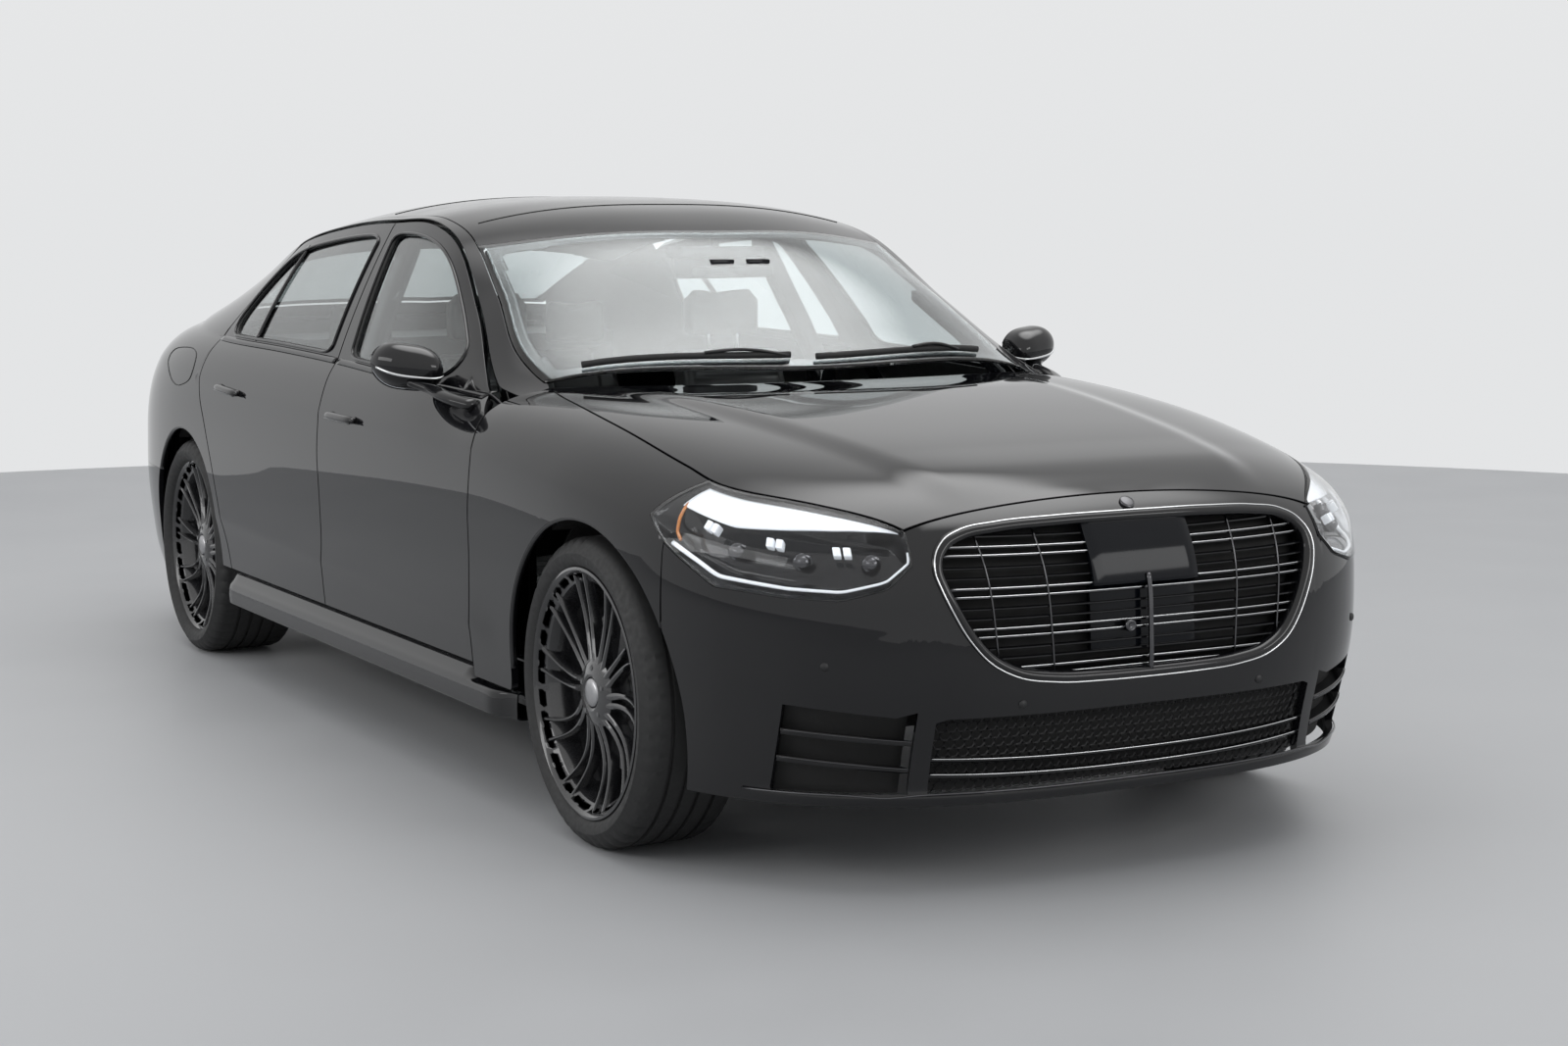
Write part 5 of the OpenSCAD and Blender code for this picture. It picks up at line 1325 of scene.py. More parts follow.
def honeycomb(name, low, high, half, size, depth):
    """A net of six-sided cells behind an intake."""
    bm = bmesh.new()
    pitch_y, pitch_z = size * math.sqrt(3), size * 1.5
    rows = int((high - low) / pitch_z) + 1
    cols = int(half / pitch_y)
    for r in range(rows):
        for c in range(-cols, cols + 1):
            y = c * pitch_y + (r % 2) * pitch_y / 2
            place = Matrix.Translation((y, low + size * 0.6 + r * pitch_z, 0)) @ Matrix.Rotation(math.pi / 6,
                    4, "Z")
            bmesh.ops.create_circle(bm, cap_ends=True, segments=6, radius=size, matrix=place)
    bmesh.ops.remove_doubles(bm, verts=bm.verts, dist=size * 0.02)
    Y = np.array([v.co.x for v in bm.verts])
    Z = np.array([v.co.y for v in bm.verts])
    X = nose_x(Y, Z) - depth + SHIFT
    for v, x, y, z in zip(bm.verts, X, Y, Z):
        v.co = (x, y, z)
    obj = finish_object(bm, name, MATERIALS["satin_plastic"], "body", smooth=False)
    m = obj.modifiers.new("net", "WIREFRAME")
    m.thickness = 0.0045
    m.use_even_offset = False
    return obj


def intakes(black):
    honeycomb("intake_net", 0.226, 0.392, 0.486, 0.0125, 0.030)
    y = np.linspace(-0.49, 0.49, 60)
    rails = [at_nose(np.stack([y, z + 0.012 * (y / 0.49) ** 2], -1), -0.010) for z in (0.284, 0.250)]
    slats("intake_rails", rails, 0.0045, 0.022, black)
    tubes("intake_bright_lines", [q + np.array([0.002, 0, 0.003]) for q in rails], 0.0013,
          MATERIALS["chrome"], "body",
          segments=6)
    for label, s in SIDES:
        fins = []
        for z in (0.275, 0.335):
            yy = np.linspace(0.533, 0.757, 24)
            fins.append(sided(at_nose(np.stack([yy, z + (yy - 0.533) * 0.10], -1), -0.004), s))
        slats(f"intake_fins_{label}", fins, 0.0060, 0.045, black)
        tubes(f"fin_edges_{label}", [q + np.array([0.002, 0, 0.004]) for q in fins], 0.0012,
              MATERIALS["dark_chrome"],
              "body", segments=6)
        u, v = mesh_uv(14, 12)
        yy, zz = lerp(0.524, 0.765, u), lerp(0.218, 0.425, v)
        skin(f"intake_back_{label}", sided(points(nose_x(yy, zz) - 0.055, yy, zz), s), MATERIALS["liner"],
             "body",
             (1, 0, 0), wall=0.003, rim=0)
    u, v = mesh_uv(30, 8)
    yy, zz = lerp(-0.497, 0.497, u), lerp(0.218, 0.395, v)
    skin("intake_backing", points(nose_x(yy, zz) - 0.060, yy, zz), MATERIALS["liner"], "body",
         (1, 0, 0), wall=0.003, rim=0)
    edge = np.linspace(-0.80, 0.80, 90)
    dip = 0.2235 - 0.006 * np.exp(-((np.abs(edge) - 0.575) / 0.05) ** 2)
    tubes("splitter_bright_line", [at_nose(np.stack([edge, dip], -1), 0.007)], 0.0024,
          MATERIALS["dark_chrome"], "body",
          segments=6)
    bm = bmesh.new()
    for yv, zv in ((0.31, 0.411), (-0.31, 0.411), (0.70, 0.50), (-0.70, 0.50)):
        x = float(nose_x(np.array(abs(yv)), np.array(zv)))
        spun(bm, [(0.0001, 0.0015), (0.007, 0.0015), (0.0075, 0.0005), (0.009, 0.0008), (0.0095, -0.004)], 28,
             (x + SHIFT - 0.002, yv, zv), (1, 0.35 if yv > 0.5 else -0.35 if yv < -0.5 else 0, 0))
    bmesh.ops.recalc_face_normals(bm, faces=bm.faces)
    finish_object(bm, "parking_sensors", MATERIALS["satin_plastic"], "body")


# ---- lamps ----
def lamp_grid(nu=46, nv=26):
    """The headlamp's outer face: columns from the grille to the wheel arch, rows from the lower edge up."""
    P, y, _ = nose_grid()
    low = P[-1, np.searchsorted(y, 0.5299):] + np.array([0, 0, 2 * SEAM])
    s = np.linspace(0, 1, nu)
    d = np.concatenate([[0], np.cumsum(np.linalg.norm(np.diff(low, axis=0), axis=1))])
    low = np.stack([np.interp(s * d[-1], d, low[:, k]) for k in range(3)], -1)
    hx = lerp(2.503, 2.108, s**1.1)
    hy = curve(HOOD_Y, hx) + HALF + 0.0005
    high = points(hx, hy, top(hx, hy))
    v = steps(nv)[:, None, None]
    G = on_skin(lerp(low[None], high[None], v), np.array([1.85, 0.42, 0.64]))
    end_s = lerp(1.17, 2, steps(nv))
    ex = line(FENDER_END, end_s) + SEAM
    z0 = WHEEL_Z + np.sqrt(np.maximum(ARCH**2 - (ex - FRONT_AXLE) ** 2, 0))
    end = fender_section(ex, z0, end_s)
    k = ease((s - 0.72) / 0.28)[None, :, None] ** 1.2
    return G + (end[:, None] - G[:, -1:]) * k


def build_lamps():
    black = MATERIALS["gloss_black"]
    G = lamp_grid()
    u, v = mesh_uv(G.shape[1], G.shape[0])
    n = np.cross(np.gradient(G, axis=1), np.gradient(G, axis=0))
    n /= np.maximum(np.linalg.norm(n, axis=-1, keepdims=True), 1e-9)
    n *= np.sign((n * np.array([1, 1, 0.3])).sum())
    bowl = np.minimum(np.minimum(u, 1 - u) / 0.10, np.minimum(v, 1 - v) / 0.16)
    depth = 0.005 + 0.060 * ease(bowl)
    place = lambda uu, vv, d: sample(G, uu, vv) - sample(n, uu, vv) * np.asarray(d)[..., None]
    for label, s in SIDES:
        out = (1, s, 0.3)
        skin(f"headlamp_lens_{label}", sided(G, s), MATERIALS["lens"], "body", out, wall=0.0025,
             rim=0,
             stands=("headlamps",) if s == 1 else ())
        skin(f"headlamp_bowl_{label}", sided(G - n * depth[..., None], s), black, "body", out,
             wall=0.003, rim=0)
        # the daytime light, the lower strip and the light blocks below carry the light guide's painted glow
        uu, vv = mesh_uv(60, 12)
        uu = lerp(0.03, 0.965, uu)
        vv = lerp(lerp(0.86, 0.64, ease(uu / 0.9)), 0.955, vv)
        hollow = 0.012 + 0.006 * ((vv - 0.955) / 0.3) ** 2
        skin(f"day_light_{label}", sided(place(uu, vv, hollow), s), MATERIALS["light_guide_painted_glow"], "body",
             out,
             wall=0.003, rim=0)
        t = steps(60)
        low = place(lerp(0.07, 0.93, t), 0.10 + 0.05 * t**6, 0.012 + 0 * t)
        tubes(f"lower_strip_{label}", [sided(low, s)], lerp(0.003, 0.0065, t), MATERIALS["light_guide_painted_glow"],
              "body",
              segments=8, flat=0.8)
        bm = bmesh.new()
        ice = bmesh.new()
        for uu in (0.33, 0.58, 0.83):
            c, a, b = (sided(place(np.array(q), np.array(r), np.array(0.026)), s)
                       for q, r in ((uu, 0.56), (uu + 0.02, 0.56), (uu, 0.60)))
            for d, size in ((-0.010, 0.017), (0.012, 0.017)):
                t = Vector(a - c).normalized()
                up = Vector(b - c).normalized()
                m = Matrix((t, up, t.cross(up))).transposed().to_4x4()
                place_at = Vector(c) + t * d + Vector((SHIFT, 0, 0))
                add_box(ice, place_at - Vector((size, 0.022, 0.02)) / 2,
                        place_at + Vector((size, 0.022, 0.02)) / 2,
                        0.003, turn=m)
            c = sided(place(np.array(uu - 0.10), np.array(0.42), np.array(0.040)), s)
            spun(bm, [(0.0001, 0.012), (0.008, 0.011), (0.014, 0.006), (0.016, 0.0), (0.019, 0.002),
                      (0.020, -0.016)], 40,
                 (c[0] + SHIFT, c[1], c[2]), Vector((1, 0.25 * s, 0)).normalized())
        bmesh.ops.recalc_face_normals(bm, faces=bm.faces)
        finish_object(bm, f"projectors_{label}", MATERIALS["dark_chrome"], "body")
        sharpen(finish_object(ice, f"light_blocks_{label}", MATERIALS["light_guide_painted_glow"], "body"))
        t = steps(20)
        tubes(f"side_marker_{label}",
              [sided(place(lerp(0.90, 0.96, t), lerp(0.25, 0.7, t), 0.02 + 0 * t), s)], 0.004,
              MATERIALS["amber"], "body")
        edge = np.concatenate([G[0], G[1:, -1], G[-1, -2::-1], G[-2:0:-1, 0]])
        tubes(f"headlamp_seal_{label}",
              [sided(edge - np.concatenate([n[0], n[1:, -1], n[-1, -2::-1], n[-2:0:-1, 0]]) * 0.004, s)],
              0.0022, MATERIALS["rubber"], "body", segments=6, closed=True)
    tail_lamps()


def sample(G, u, v):
    """A grid read at fractions of its columns and rows."""
    u, v = np.broadcast_arrays(np.asarray(u, float), np.asarray(v, float))
    i = np.clip(v * (G.shape[0] - 1), 0, G.shape[0] - 1.001)
    j = np.clip(u * (G.shape[1] - 1), 0, G.shape[1] - 1.001)
    a, b = i.astype(int), j.astype(int)
    f, g = (i - a)[..., None], (j - b)[..., None]
    return (G[a, b] * (1 - f) * (1 - g) + G[a + 1, b] * f * (1 - g) + G[a, b + 1] * (1 - f) * g
            + G[a + 1, b + 1] * f * g)


def tail_grid():
    u, v = mesh_uv(30, 24)
    v = lerp(0.01, 0.93, v)
    a = np.radians(lerp(0, 38, v))
    x0 = -2.420 - SEAM
    outer = on_skin(points(x0, 0.3 + 0.4 * np.cos(a), 0.754 + 0.4 * np.sin(a)),
                    points(x0, 0.3 + 0 * a, 0.754))
    a = lerp(174.5, 135, v)
    y = lid_edge(a) + HALF + 0.005
    w = np.radians(a)
    inner = on_skin(points(-2.16 + 0.4 * np.cos(w), y, 0.72 + 0.4 * np.sin(w)), points(-2.16, y, 0.72))
    return on_skin(lerp(outer, inner, u[..., None]), np.array([-2.1, 0.3, 0.78]))


def tail_lamps():
    G = tail_grid()
    chrome = MATERIALS["chrome"]
    for label, s in SIDES:
        skin(f"tail_lamp_{label}", sided(G, s), MATERIALS["red_lens"], "body", (-1, s, 0.2),
             wall=0.012,
             stands=("tail_lamps",) if s == 1 else ())
        t = steps(24)
        bars = [sided(sample(G, t * 0.9 + 0.05, k + 0 * t) + np.array([-0.001, 0.001, 0]), s) for k in (0.3,
                0.5, 0.7)]
        tubes(f"tail_light_bars_{label}", bars, 0.0035, MATERIALS["red_lens"], "body")
    a = np.radians(150)
    y = np.linspace(-0.545, 0.545, 70)
    band = []
    for da in (-1.6, -0.6, 0.6, 1.6):
        w = a + np.radians(da)
        band.append(on_skin(points(-2.16 + 0.4 * math.cos(w), y, 0.72 + 0.4 * math.sin(w)),
                            points(-2.16, y, 0.72)))
    band = np.stack(band)
    band[1:3, :, 0] -= 0.005
    skin("boot_bright_bar", band, chrome, "boot_lid", (-1, 0, 0), wall=0.002, rim=0)


# ---- rear bumper ----
def tail_cover():
    y = np.concatenate([np.linspace(0, 0.731, 60)[:-1], np.linspace(0.731, 0.747, 6)[:-1],
                        np.linspace(0.747, 0.840, 14)])
    hi = line(((0, 0.735), (0.520, 0.735), (0.600, 0.742), (0.680, 0.752), (0.731, 0.752), (0.747, 0.592),
               (0.9, 0.592)), y)
    v = steps(44)[:, None]
    z = lerp(0.205, hi[None] - SEAM, v)
    yy = np.broadcast_to(y[None], z.shape)
    back = on_skin(points(-2.6, yy, z), points(-1.7, yy, z), 0.4, 1.1)
    u = steps(36)[1:][None]
    zt = lerp(0.225, 0.592 - SEAM, v)
    zt = lerp(back[:, -1:, 2], zt, ease(u * 3))
    arch = REAR_AXLE - np.sqrt(np.maximum(ARCH**2 - (zt - WHEEL_Z) ** 2, 0)) - SEAM
    x = lerp(back[:, -1:, 0], arch, u)
    tail = points(x, side(x, zt), zt)
    P = np.concatenate([back, tail], 1)
    a = np.abs(P[..., 1])
    groove = np.exp(-((P[..., 2] - 0.44) / 0.012) ** 2) * 0.006
    recess = ease((0.40 - P[..., 2]) / 0.03) * ease((0.70 - a) / 0.05) * 0.045
    P[..., 0] += np.where(P[..., 0] < -2.3, groove + recess, 0)
    return P


def build_tail():
    paint = MATERIALS["paint"]
    P = tail_cover()
    skin("rear_cover", whole(P), paint, "body", (-1, 0, 0), wall=0.016, stands=("rear_bumper",))
    # diffuser, its blades and two exhaust trims
    u, v = mesh_uv(50, 14)
    y = lerp(-0.66, 0.66, u)
    z = lerp(0.20, 0.385, v)
    x = on_skin(points(-2.6, np.abs(y), z), points(-1.7, np.abs(y), z), 0.4, 1.1)[..., 0] + 0.022
    skin("diffuser", points(x + 0.03 * (1 - v), y, z), MATERIALS["satin_plastic"], "body",
         (-1, 0, 0),
         wall=0.006)
    blades = [((-2.555, yv - 0.004, 0.215), (-2.500, yv + 0.004, 0.345)) for yv in (-0.27, -0.09, 0.09, 0.27)]
    blocks("diffuser_blades", blades, MATERIALS["gloss_black"], "body", 0.002)
    loops = []
    for s in (1, -1):
        a = np.linspace(0, 2 * math.pi, 49)[:-1]
        yy = s * (0.50 + 0.105 * np.sign(np.cos(a)) * np.abs(np.cos(a)) ** 0.45)
        zz = 0.295 + 0.038 * np.sign(np.sin(a)) * np.abs(np.sin(a)) ** 0.45
        xx = on_skin(points(-2.6, np.abs(yy), zz), points(-1.7, np.abs(yy), zz), 0.4, 1.1)[..., 0] + 0.012
        loops.append(points(xx, yy, zz))
    tubes("exhaust_trims", loops, 0.007, MATERIALS["chrome"], "body", segments=10,
          closed=True)
    y = np.linspace(-0.70, 0.70, 60)
    x = on_skin(points(-2.6, np.abs(y), 0 * y + 0.43), points(-1.7, np.abs(y), 0 * y + 0.43), 0.4, 1.1)[...,
            0]
    tubes("tail_bright_line", [points(x - 0.001, y, 0 * y + 0.405)], 0.003, MATERIALS["dark_chrome"], "body")
    x0 = float(on_skin(points(-2.6, 0.0, 0.62), points(-1.7, 0.0, 0.62), 0.4, 1.1)[0])
    blocks("rear_plate", [((x0 - 0.004 + SHIFT, -0.26, 0.560), (x0 + 0.010 + SHIFT, 0.26, 0.672))],
           MATERIALS["plate"],
           "body", 0.003)


# ---- wheels ----
def tyre_profile(width, radius, rim):
    h = width / 2
    half = [(rim - 0.012, 0.100), (rim + 0.001, h - 0.016), (rim + 0.006, h - 0.010),
            (rim + 0.020, h - 0.002),
            (rim + 0.034, h), (radius - 0.030, h - 0.005), (radius - 0.014, h - 0.013), (radius - 0.006,
                    h - 0.022),
            (radius - 0.0016, h - 0.034)]
    crown_part = []
    for w in (0.062, 0.020):
        crown_part += [(radius - 0.0006, w + 0.0055), (radius - 0.0075, w + 0.004),
                       (radius - 0.0075, w - 0.004),
                       (radius - 0.0002, w - 0.0055)]
    side_a = half + [(r, x) for r, x in crown_part]
    return side_a + [(r, -x) for r, x in reversed(side_a)]


def build_wheels():
    for end in ("front", "rear"):
        for label, s in SIDES:
            low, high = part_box(f"tyre_{end}_{label}")
            centre = (low + high) / 2
            width, radius = high.y - low.y, (high.z - low.z) / 2
            one_wheel(end, label, s, centre, width, radius)


def one_wheel(end, label, s, centre, width, radius):
    body, tag = f"{end}_{label}_wheel", f"{end}_{label}"
    rim = 0.285
    axis = (0, s, 0)
    # tyre, with shoulder notches cut between its blocks
    bm = bmesh.new()
    profile = tyre_profile(width, radius, rim)
    segments = 204
    spun(bm, profile, segments, centre, axis)
    shoulder = {round(r, 5) for r, x in profile if abs(x) > width / 2 - 0.036 and r > radius - 0.016}
    for v in bm.verts:
        d = v.co - centre
        r = math.hypot(d.x, d.z)
        turn = math.atan2(d.z, d.x) + (0.4 if d.y > 0 else 0) * math.pi / 34
        step = int(round(turn / (2 * math.pi) * segments)) % 4
        if round(r, 5) in shoulder and step == 0:
            k = (r - 0.0055) / r
            v.co = centre + Vector((d.x * k, d.y, d.z * k))
    bmesh.ops.recalc_face_normals(bm, faces=bm.faces)
    obj = finish_object(bm, f"tread_{tag}", MATERIALS["rubber"], body, (f"tyre_{end}_{label}",))
    sharpen(obj, 28)
    # rim barrel and lips
    bm = bmesh.new()
    lip = 0.119
    spun(bm, [(rim, -lip), (rim + 0.002, -lip + 0.008), (rim - 0.014, -lip + 0.016), (rim - 0.020, -0.080),
              (rim - 0.040, -0.045), (rim - 0.040, 0.040), (rim - 0.022, 0.086), (rim - 0.016, 0.104),
              (rim - 0.001, 0.110), (rim + 0.0022, 0.114), (rim + 0.002, lip), (rim - 0.004, lip + 0.002),
              (rim - 0.010, lip - 0.003), (rim - 0.016, 0.104), (rim - 0.030, 0.094), (rim - 0.048, 0.050),
              (rim - 0.050, -0.060), (rim - 0.030, -0.085), (rim - 0.024, -lip + 0.012), (rim, -lip)], 128, centre, axis)
    bmesh.ops.recalc_face_normals(bm, faces=bm.faces)
    obj = finish_object(bm, f"rim_{tag}", MATERIALS["wheel_black"], body,
                        (f"wheel_{end}_{label}",))
    sharpen(obj, 30)
    # spokes: slender, curved blades in pairs
    bm = bmesh.new()
    count = 20
    for k in range(count):
        spoke(bm, centre, s, 2 * math.pi * k / count, rim, 1 if k % 2 else -1)
    bmesh.ops.recalc_face_normals(bm, faces=bm.faces)
    obj = finish_object(bm, f"spokes_{tag}", MATERIALS["wheel_black"], body)
    sharpen(obj, 40)
    # hub, cap, bolts, brake disc
    bm = bmesh.new()
    spun(bm, [(0.0001, 0.074), (0.034, 0.074), (0.036, 0.096), (0.042, 0.099), (0.066, 0.094), (0.082, 0.084),
              (0.086, 0.060),
              (0.080, 0.030), (0.075, -0.030), (0.0001, -0.030)], 64, centre, axis)
    for k in range(5):
        a = 2 * math.pi * (k + 0.25) / 5
        c = centre + Vector((0.056 * math.cos(a), s * 0.088, 0.056 * math.sin(a)))
        spun(bm, [(0.0001, 0.010), (0.006, 0.010), (0.0085, 0.007), (0.0085, 0.0)], 6, c, axis)
    bmesh.ops.recalc_face_normals(bm, faces=bm.faces)
    obj = finish_object(bm, f"hub_{tag}", MATERIALS["wheel_black"], body)
    sharpen(obj, 30)
    bm = bmesh.new()
    spun(bm, [(0.0001, 0.1035), (0.018, 0.1030), (0.029, 0.1005), (0.0325, 0.0975), (0.034, 0.092),
              (0.034, 0.08)], 56, centre, axis)
    bmesh.ops.recalc_face_normals(bm, faces=bm.faces)
    finish_object(bm, f"cap_{tag}", MATERIALS["silver_cap"], body)
    bm = bmesh.new()
    spun(bm, [(0.082, -0.012), (0.186, -0.012), (0.187, -0.010), (0.187, -0.004), (0.178, -0.003),
              (0.178, 0.006),
              (0.187, 0.007), (0.187, 0.017), (0.186, 0.019), (0.095, 0.019), (0.090, 0.034), (0.078,
                      0.036), (0.078, -0.012),
              (0.082, -0.012)], 96, centre, axis)
    bmesh.ops.recalc_face_normals(bm, faces=bm.faces)
    obj = finish_object(bm, f"brake_disc_{tag}", MATERIALS["brushed_steel"], body)
    sharpen(obj, 30)


def spoke(bm, centre, s, turn, rim, hand):
    """One blade from the hub to the rim, leaning toward its neighbour."""
    n = 12
    t = steps(n)
    r = lerp(0.066, rim - 0.010, t)
    lean = hand * 0.030 * np.sin(math.pi * np.clip(t, 0, 1) * 0.5) * 0.55 + 0.020 * np.sin(math.pi * t)
    a = turn + lean / np.maximum(r, 0.1)
    face = 0.092 - 0.016 * np.sin(math.pi * t) + 0.016 * t
    deep = face - lerp(0.034, 0.020, t)
    wide = lerp(0.0085, 0.0042, np.minimum(t * 1.6, 1)) + 0.003 * ease((t - 0.85) / 0.15)
    rows = []
    for w, d in ((-1.0, deep), (-1.0, face - 0.004), (-0.35, face), (0.35, face), (1.0, face - 0.004),
                 (1.0, deep), (-1.0, deep)):
        ta = a + w * wide / r
        rows.append(np.stack([centre.x + r * np.cos(ta), centre.y + s * d, centre.z + r * np.sin(ta)], -1))
    made = bmesh.ops.create_grid(bm, x_segments=n - 1, y_segments=len(rows) - 1, size=1)["verts"]
    for v, p in zip(sorted(made, key=lambda q: q.index), np.stack(rows).reshape(-1, 3)):
        v.co = p


# ---- the stage ----
# ---- seats ----

def hull_of(boxes, inset):
    """The hull of a few boxes, each taken in a little."""
    bm = bmesh.new()
    for low, high in boxes:
        low, high = Vector(low) + Vector((SHIFT, 0, 0)), Vector(high) + Vector((SHIFT, 0, 0))
        for v in bmesh.ops.create_cube(bm, size=1)["verts"]:
            v.co = Vector(lerp(low[k] + inset, high[k] - inset, v.co[k] + 0.5) for k in range(3))
    bmesh.ops.delete(bm, geom=bm.edges[:], context="EDGES_FACES")
    done = bmesh.ops.convex_hull(bm, input=bm.verts[:], use_existing_faces=False)
    inner = {g for g in done["geom_interior"] + done["geom_unused"] if isinstance(g, bmesh.types.BMVert)}
    bmesh.ops.delete(bm, geom=list(inner), context="VERTS")
    bmesh.ops.recalc_face_normals(bm, faces=bm.faces)
    return bm


def settled(obj):
    """The object's mesh with its modifiers worked in, and the modifiers taken off."""
    shape = bpy.data.meshes.new_from_object(obj.evaluated_get(bpy.context.evaluated_depsgraph_get()))
    obj.modifiers.clear()
    old, obj.data = obj.data, shape
    bpy.data.meshes.remove(old)


def coords(obj, new=None):
    if new is not None:
        obj.data.vertices.foreach_set("co", np.asarray(new, float).ravel())
        obj.data.update()
    P = np.empty(len(obj.data.vertices) * 3)
    obj.data.vertices.foreach_get("co", P)
    return P.reshape(-1, 3)


def inflate(pads, cap=0.014):
    """Blows the pads up as cloth under pressure, each point held to within cap of where it began."""
    for obj in pads:
        cloth = obj.modifiers.new("Cloth", "CLOTH").settings
        cloth.use_pressure = True
        cloth.uniform_pressure_force = 4.0
        cloth.effector_weights.gravity = 0.0
    scene = bpy.context.scene
    start = [coords(obj) for obj in pads]
    for f in range(1, 21):
        scene.frame_set(f)
    for obj, P in zip(pads, start):
        settled(obj)
        move = coords(obj) - P
        far = np.linalg.norm(move, axis=1, keepdims=True)
        coords(obj, P + move * np.minimum(1, cap / np.maximum(far, 1e-9)))
    scene.frame_set(1)


def sew(obj, lines, depth=0.0045, width=0.0065):
    """Presses sewn channels in, where each of lines is a function of the points giving the distance to it."""
    P = coords(obj)
    normals = np.empty(P.size)
    obj.data.vertices.foreach_get("normal", normals)
    press = np.zeros(len(P))
    for f in lines:
        press = np.maximum(press, np.exp(-(f(P - np.array([SHIFT, 0, 0])) / width) ** 2))
    coords(obj, P - normals.reshape(-1, 3) * (press * depth)[:, None])


def flutes(axis, places, across_axis, low, high):
    """Channels at places along one axis, kept between low and high on another."""
    def one(c):
        def far(P):
            out = np.maximum(np.maximum(low - P[:, across_axis], P[:, across_axis] - high), 0)
            return np.hypot(P[:, axis] - c, out * 1.5)
        return far
    return [one(c) for c in places]


def seat_pads():
    """Name, boxes, channels, fill and CAD node of every pad; the front ones are the left seat's."""
    fx, fy = 0.110, 0.390
    left, right = fy - 0.240, fy + 0.240
    wings = flutes(1, (fy - 0.150, fy + 0.150), 2, 0.30, 1.06)
    cushion = [((fx, left, 0.330), (fx + 0.500, right, 0.430)),
               ((fx + 0.020, left + 0.030, 0.310), (fx + 0.480, right - 0.030, 0.460))]
    back = [((fx - 0.060, left + 0.010, 0.400), (fx + 0.060, right - 0.010, 0.480)),
            ((fx - 0.260, left + 0.050, 1.000), (fx - 0.160, right - 0.050, 1.050))]
    head = [((fx - 0.290, fy - 0.130, 1.070), (fx - 0.190, fy + 0.130, 1.190)),
            ((fx - 0.250, fy - 0.110, 1.060), (fx - 0.220, fy + 0.110, 1.230))]
    rows = [("front_cushion", cushion, wings + flutes(0, (0.20, 0.30, 0.40, 0.50), 1, fy - 0.150, fy + 0.150),
             0.75, "front_seats"),
            ("front_back", back, wings + flutes(2, (0.56, 0.66, 0.76, 0.86, 0.95), 1, fy - 0.150, fy + 0.150),
             0.75, "front_seats"),
            ("front_headrest", head, [], 0.7, "front_seats")]
    bench = [((-1.008, -0.600, 0.432), (-0.560, 0.600, 0.470)),
             ((-1.008, -0.580, 0.440), (-0.540, 0.580, 0.500))]
    lower = [((-1.200, -0.468, 0.440), (-1.060, 0.468, 0.520)),
             ((-1.280, -0.468, 0.760), (-1.200, 0.468, 0.800))]
    upper = [((-1.280, -0.560, 0.796), (-1.180, 0.560, 0.850)),
             ((-1.2995, -0.560, 0.960), (-1.240, 0.560, 1.005))]
    places = (-0.45, -0.28, -0.11, 0.11, 0.28, 0.45)
    rows += [("rear_cushion", bench, flutes(1, places, 0, -1.0, -0.57), 0.75, "rear_seat"),
             ("rear_back_low", lower, flutes(1, places, 2, 0.4, 0.8), 0.75, "rear_seat"),
             ("rear_back_high", upper, flutes(1, places, 2, 0.8, 1.0), 0.75, "rear_seat"),
             ("rear_headrest", [((-1.290, 0.270, 1.000), (-1.220, 0.510, 1.150)),
                                ((-1.270, 0.290, 0.990), (-1.240, 0.490, 1.170))],
              [], 0.7, "rear_seat")]
    return rows


def build_seats():
    leather, plastic = MATERIALS["leather"], MATERIALS["satin_plastic"]
    rows, pads = seat_pads(), []
    for name, boxes, lines, fill, node in rows:
        obj = finish_object(hull_of(boxes, 0.012), name, leather, "body")
        voxels = obj.modifiers.new("Remesh", "REMESH")
        voxels.mode = "VOXEL"
        voxels.voxel_size = 0.010
        settled(obj)
        pads.append(obj)
    inflate(pads)
    for obj, (name, boxes, lines, fill, node) in zip(pads, rows):
        smooth = obj.modifiers.new("Subdivision", "SUBSURF")
        smooth.levels = smooth.render_levels = 1
        settled(obj)
        sew(obj, lines)
        pair = [obj]
        if name.startswith("front") or name == "rear_headrest":
            twin = bpy.data.objects.new(f"{name}_right", obj.data.copy())
            bpy.context.scene.collection.objects.link(twin)
            coords(twin, coords(obj) * np.array([1, -1, 1]))
            twin.data.flip_normals()
            obj.name = f"{name}_left"
            pair.append(twin)
        for pad in pair:
            for polygon in pad.data.polygons:
                polygon.use_smooth = True
            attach(pad, "body")
            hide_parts(node)

    for label, s in SIDES:
        near, far = sorted((s * 0.210, s * 0.570))
        base = [((0.140 + SHIFT, near, 0.262), (0.580 + SHIFT, far, 0.335)),
                ((0.120 + SHIFT, near, 0.2115), (0.600 + SHIFT, near + 0.05, 0.262)),
                ((0.120 + SHIFT, far - 0.05, 0.2115), (0.600 + SHIFT, far, 0.262))]
        blocks(f"seat_base_{label}", base, plastic, "body", 0.006, ("front_seats",))
        near, far = sorted((s * 0.155, s * 0.560))
        blocks(f"bench_base_{label}", [((-0.998 + SHIFT, near, 0.2115), (-0.600 + SHIFT, far, 0.446))],
               plastic, "body",
               0.006, ("rear_seat",))
        posts = [np.array([(-0.1175, s * 0.390 + d, z) for z in np.linspace(1.0, 1.09, 6)]) for d in (-0.05,
                0.05)]
        tubes(f"headrest_posts_{label}", posts, 0.006, MATERIALS["chrome"], "body",
              segments=10)


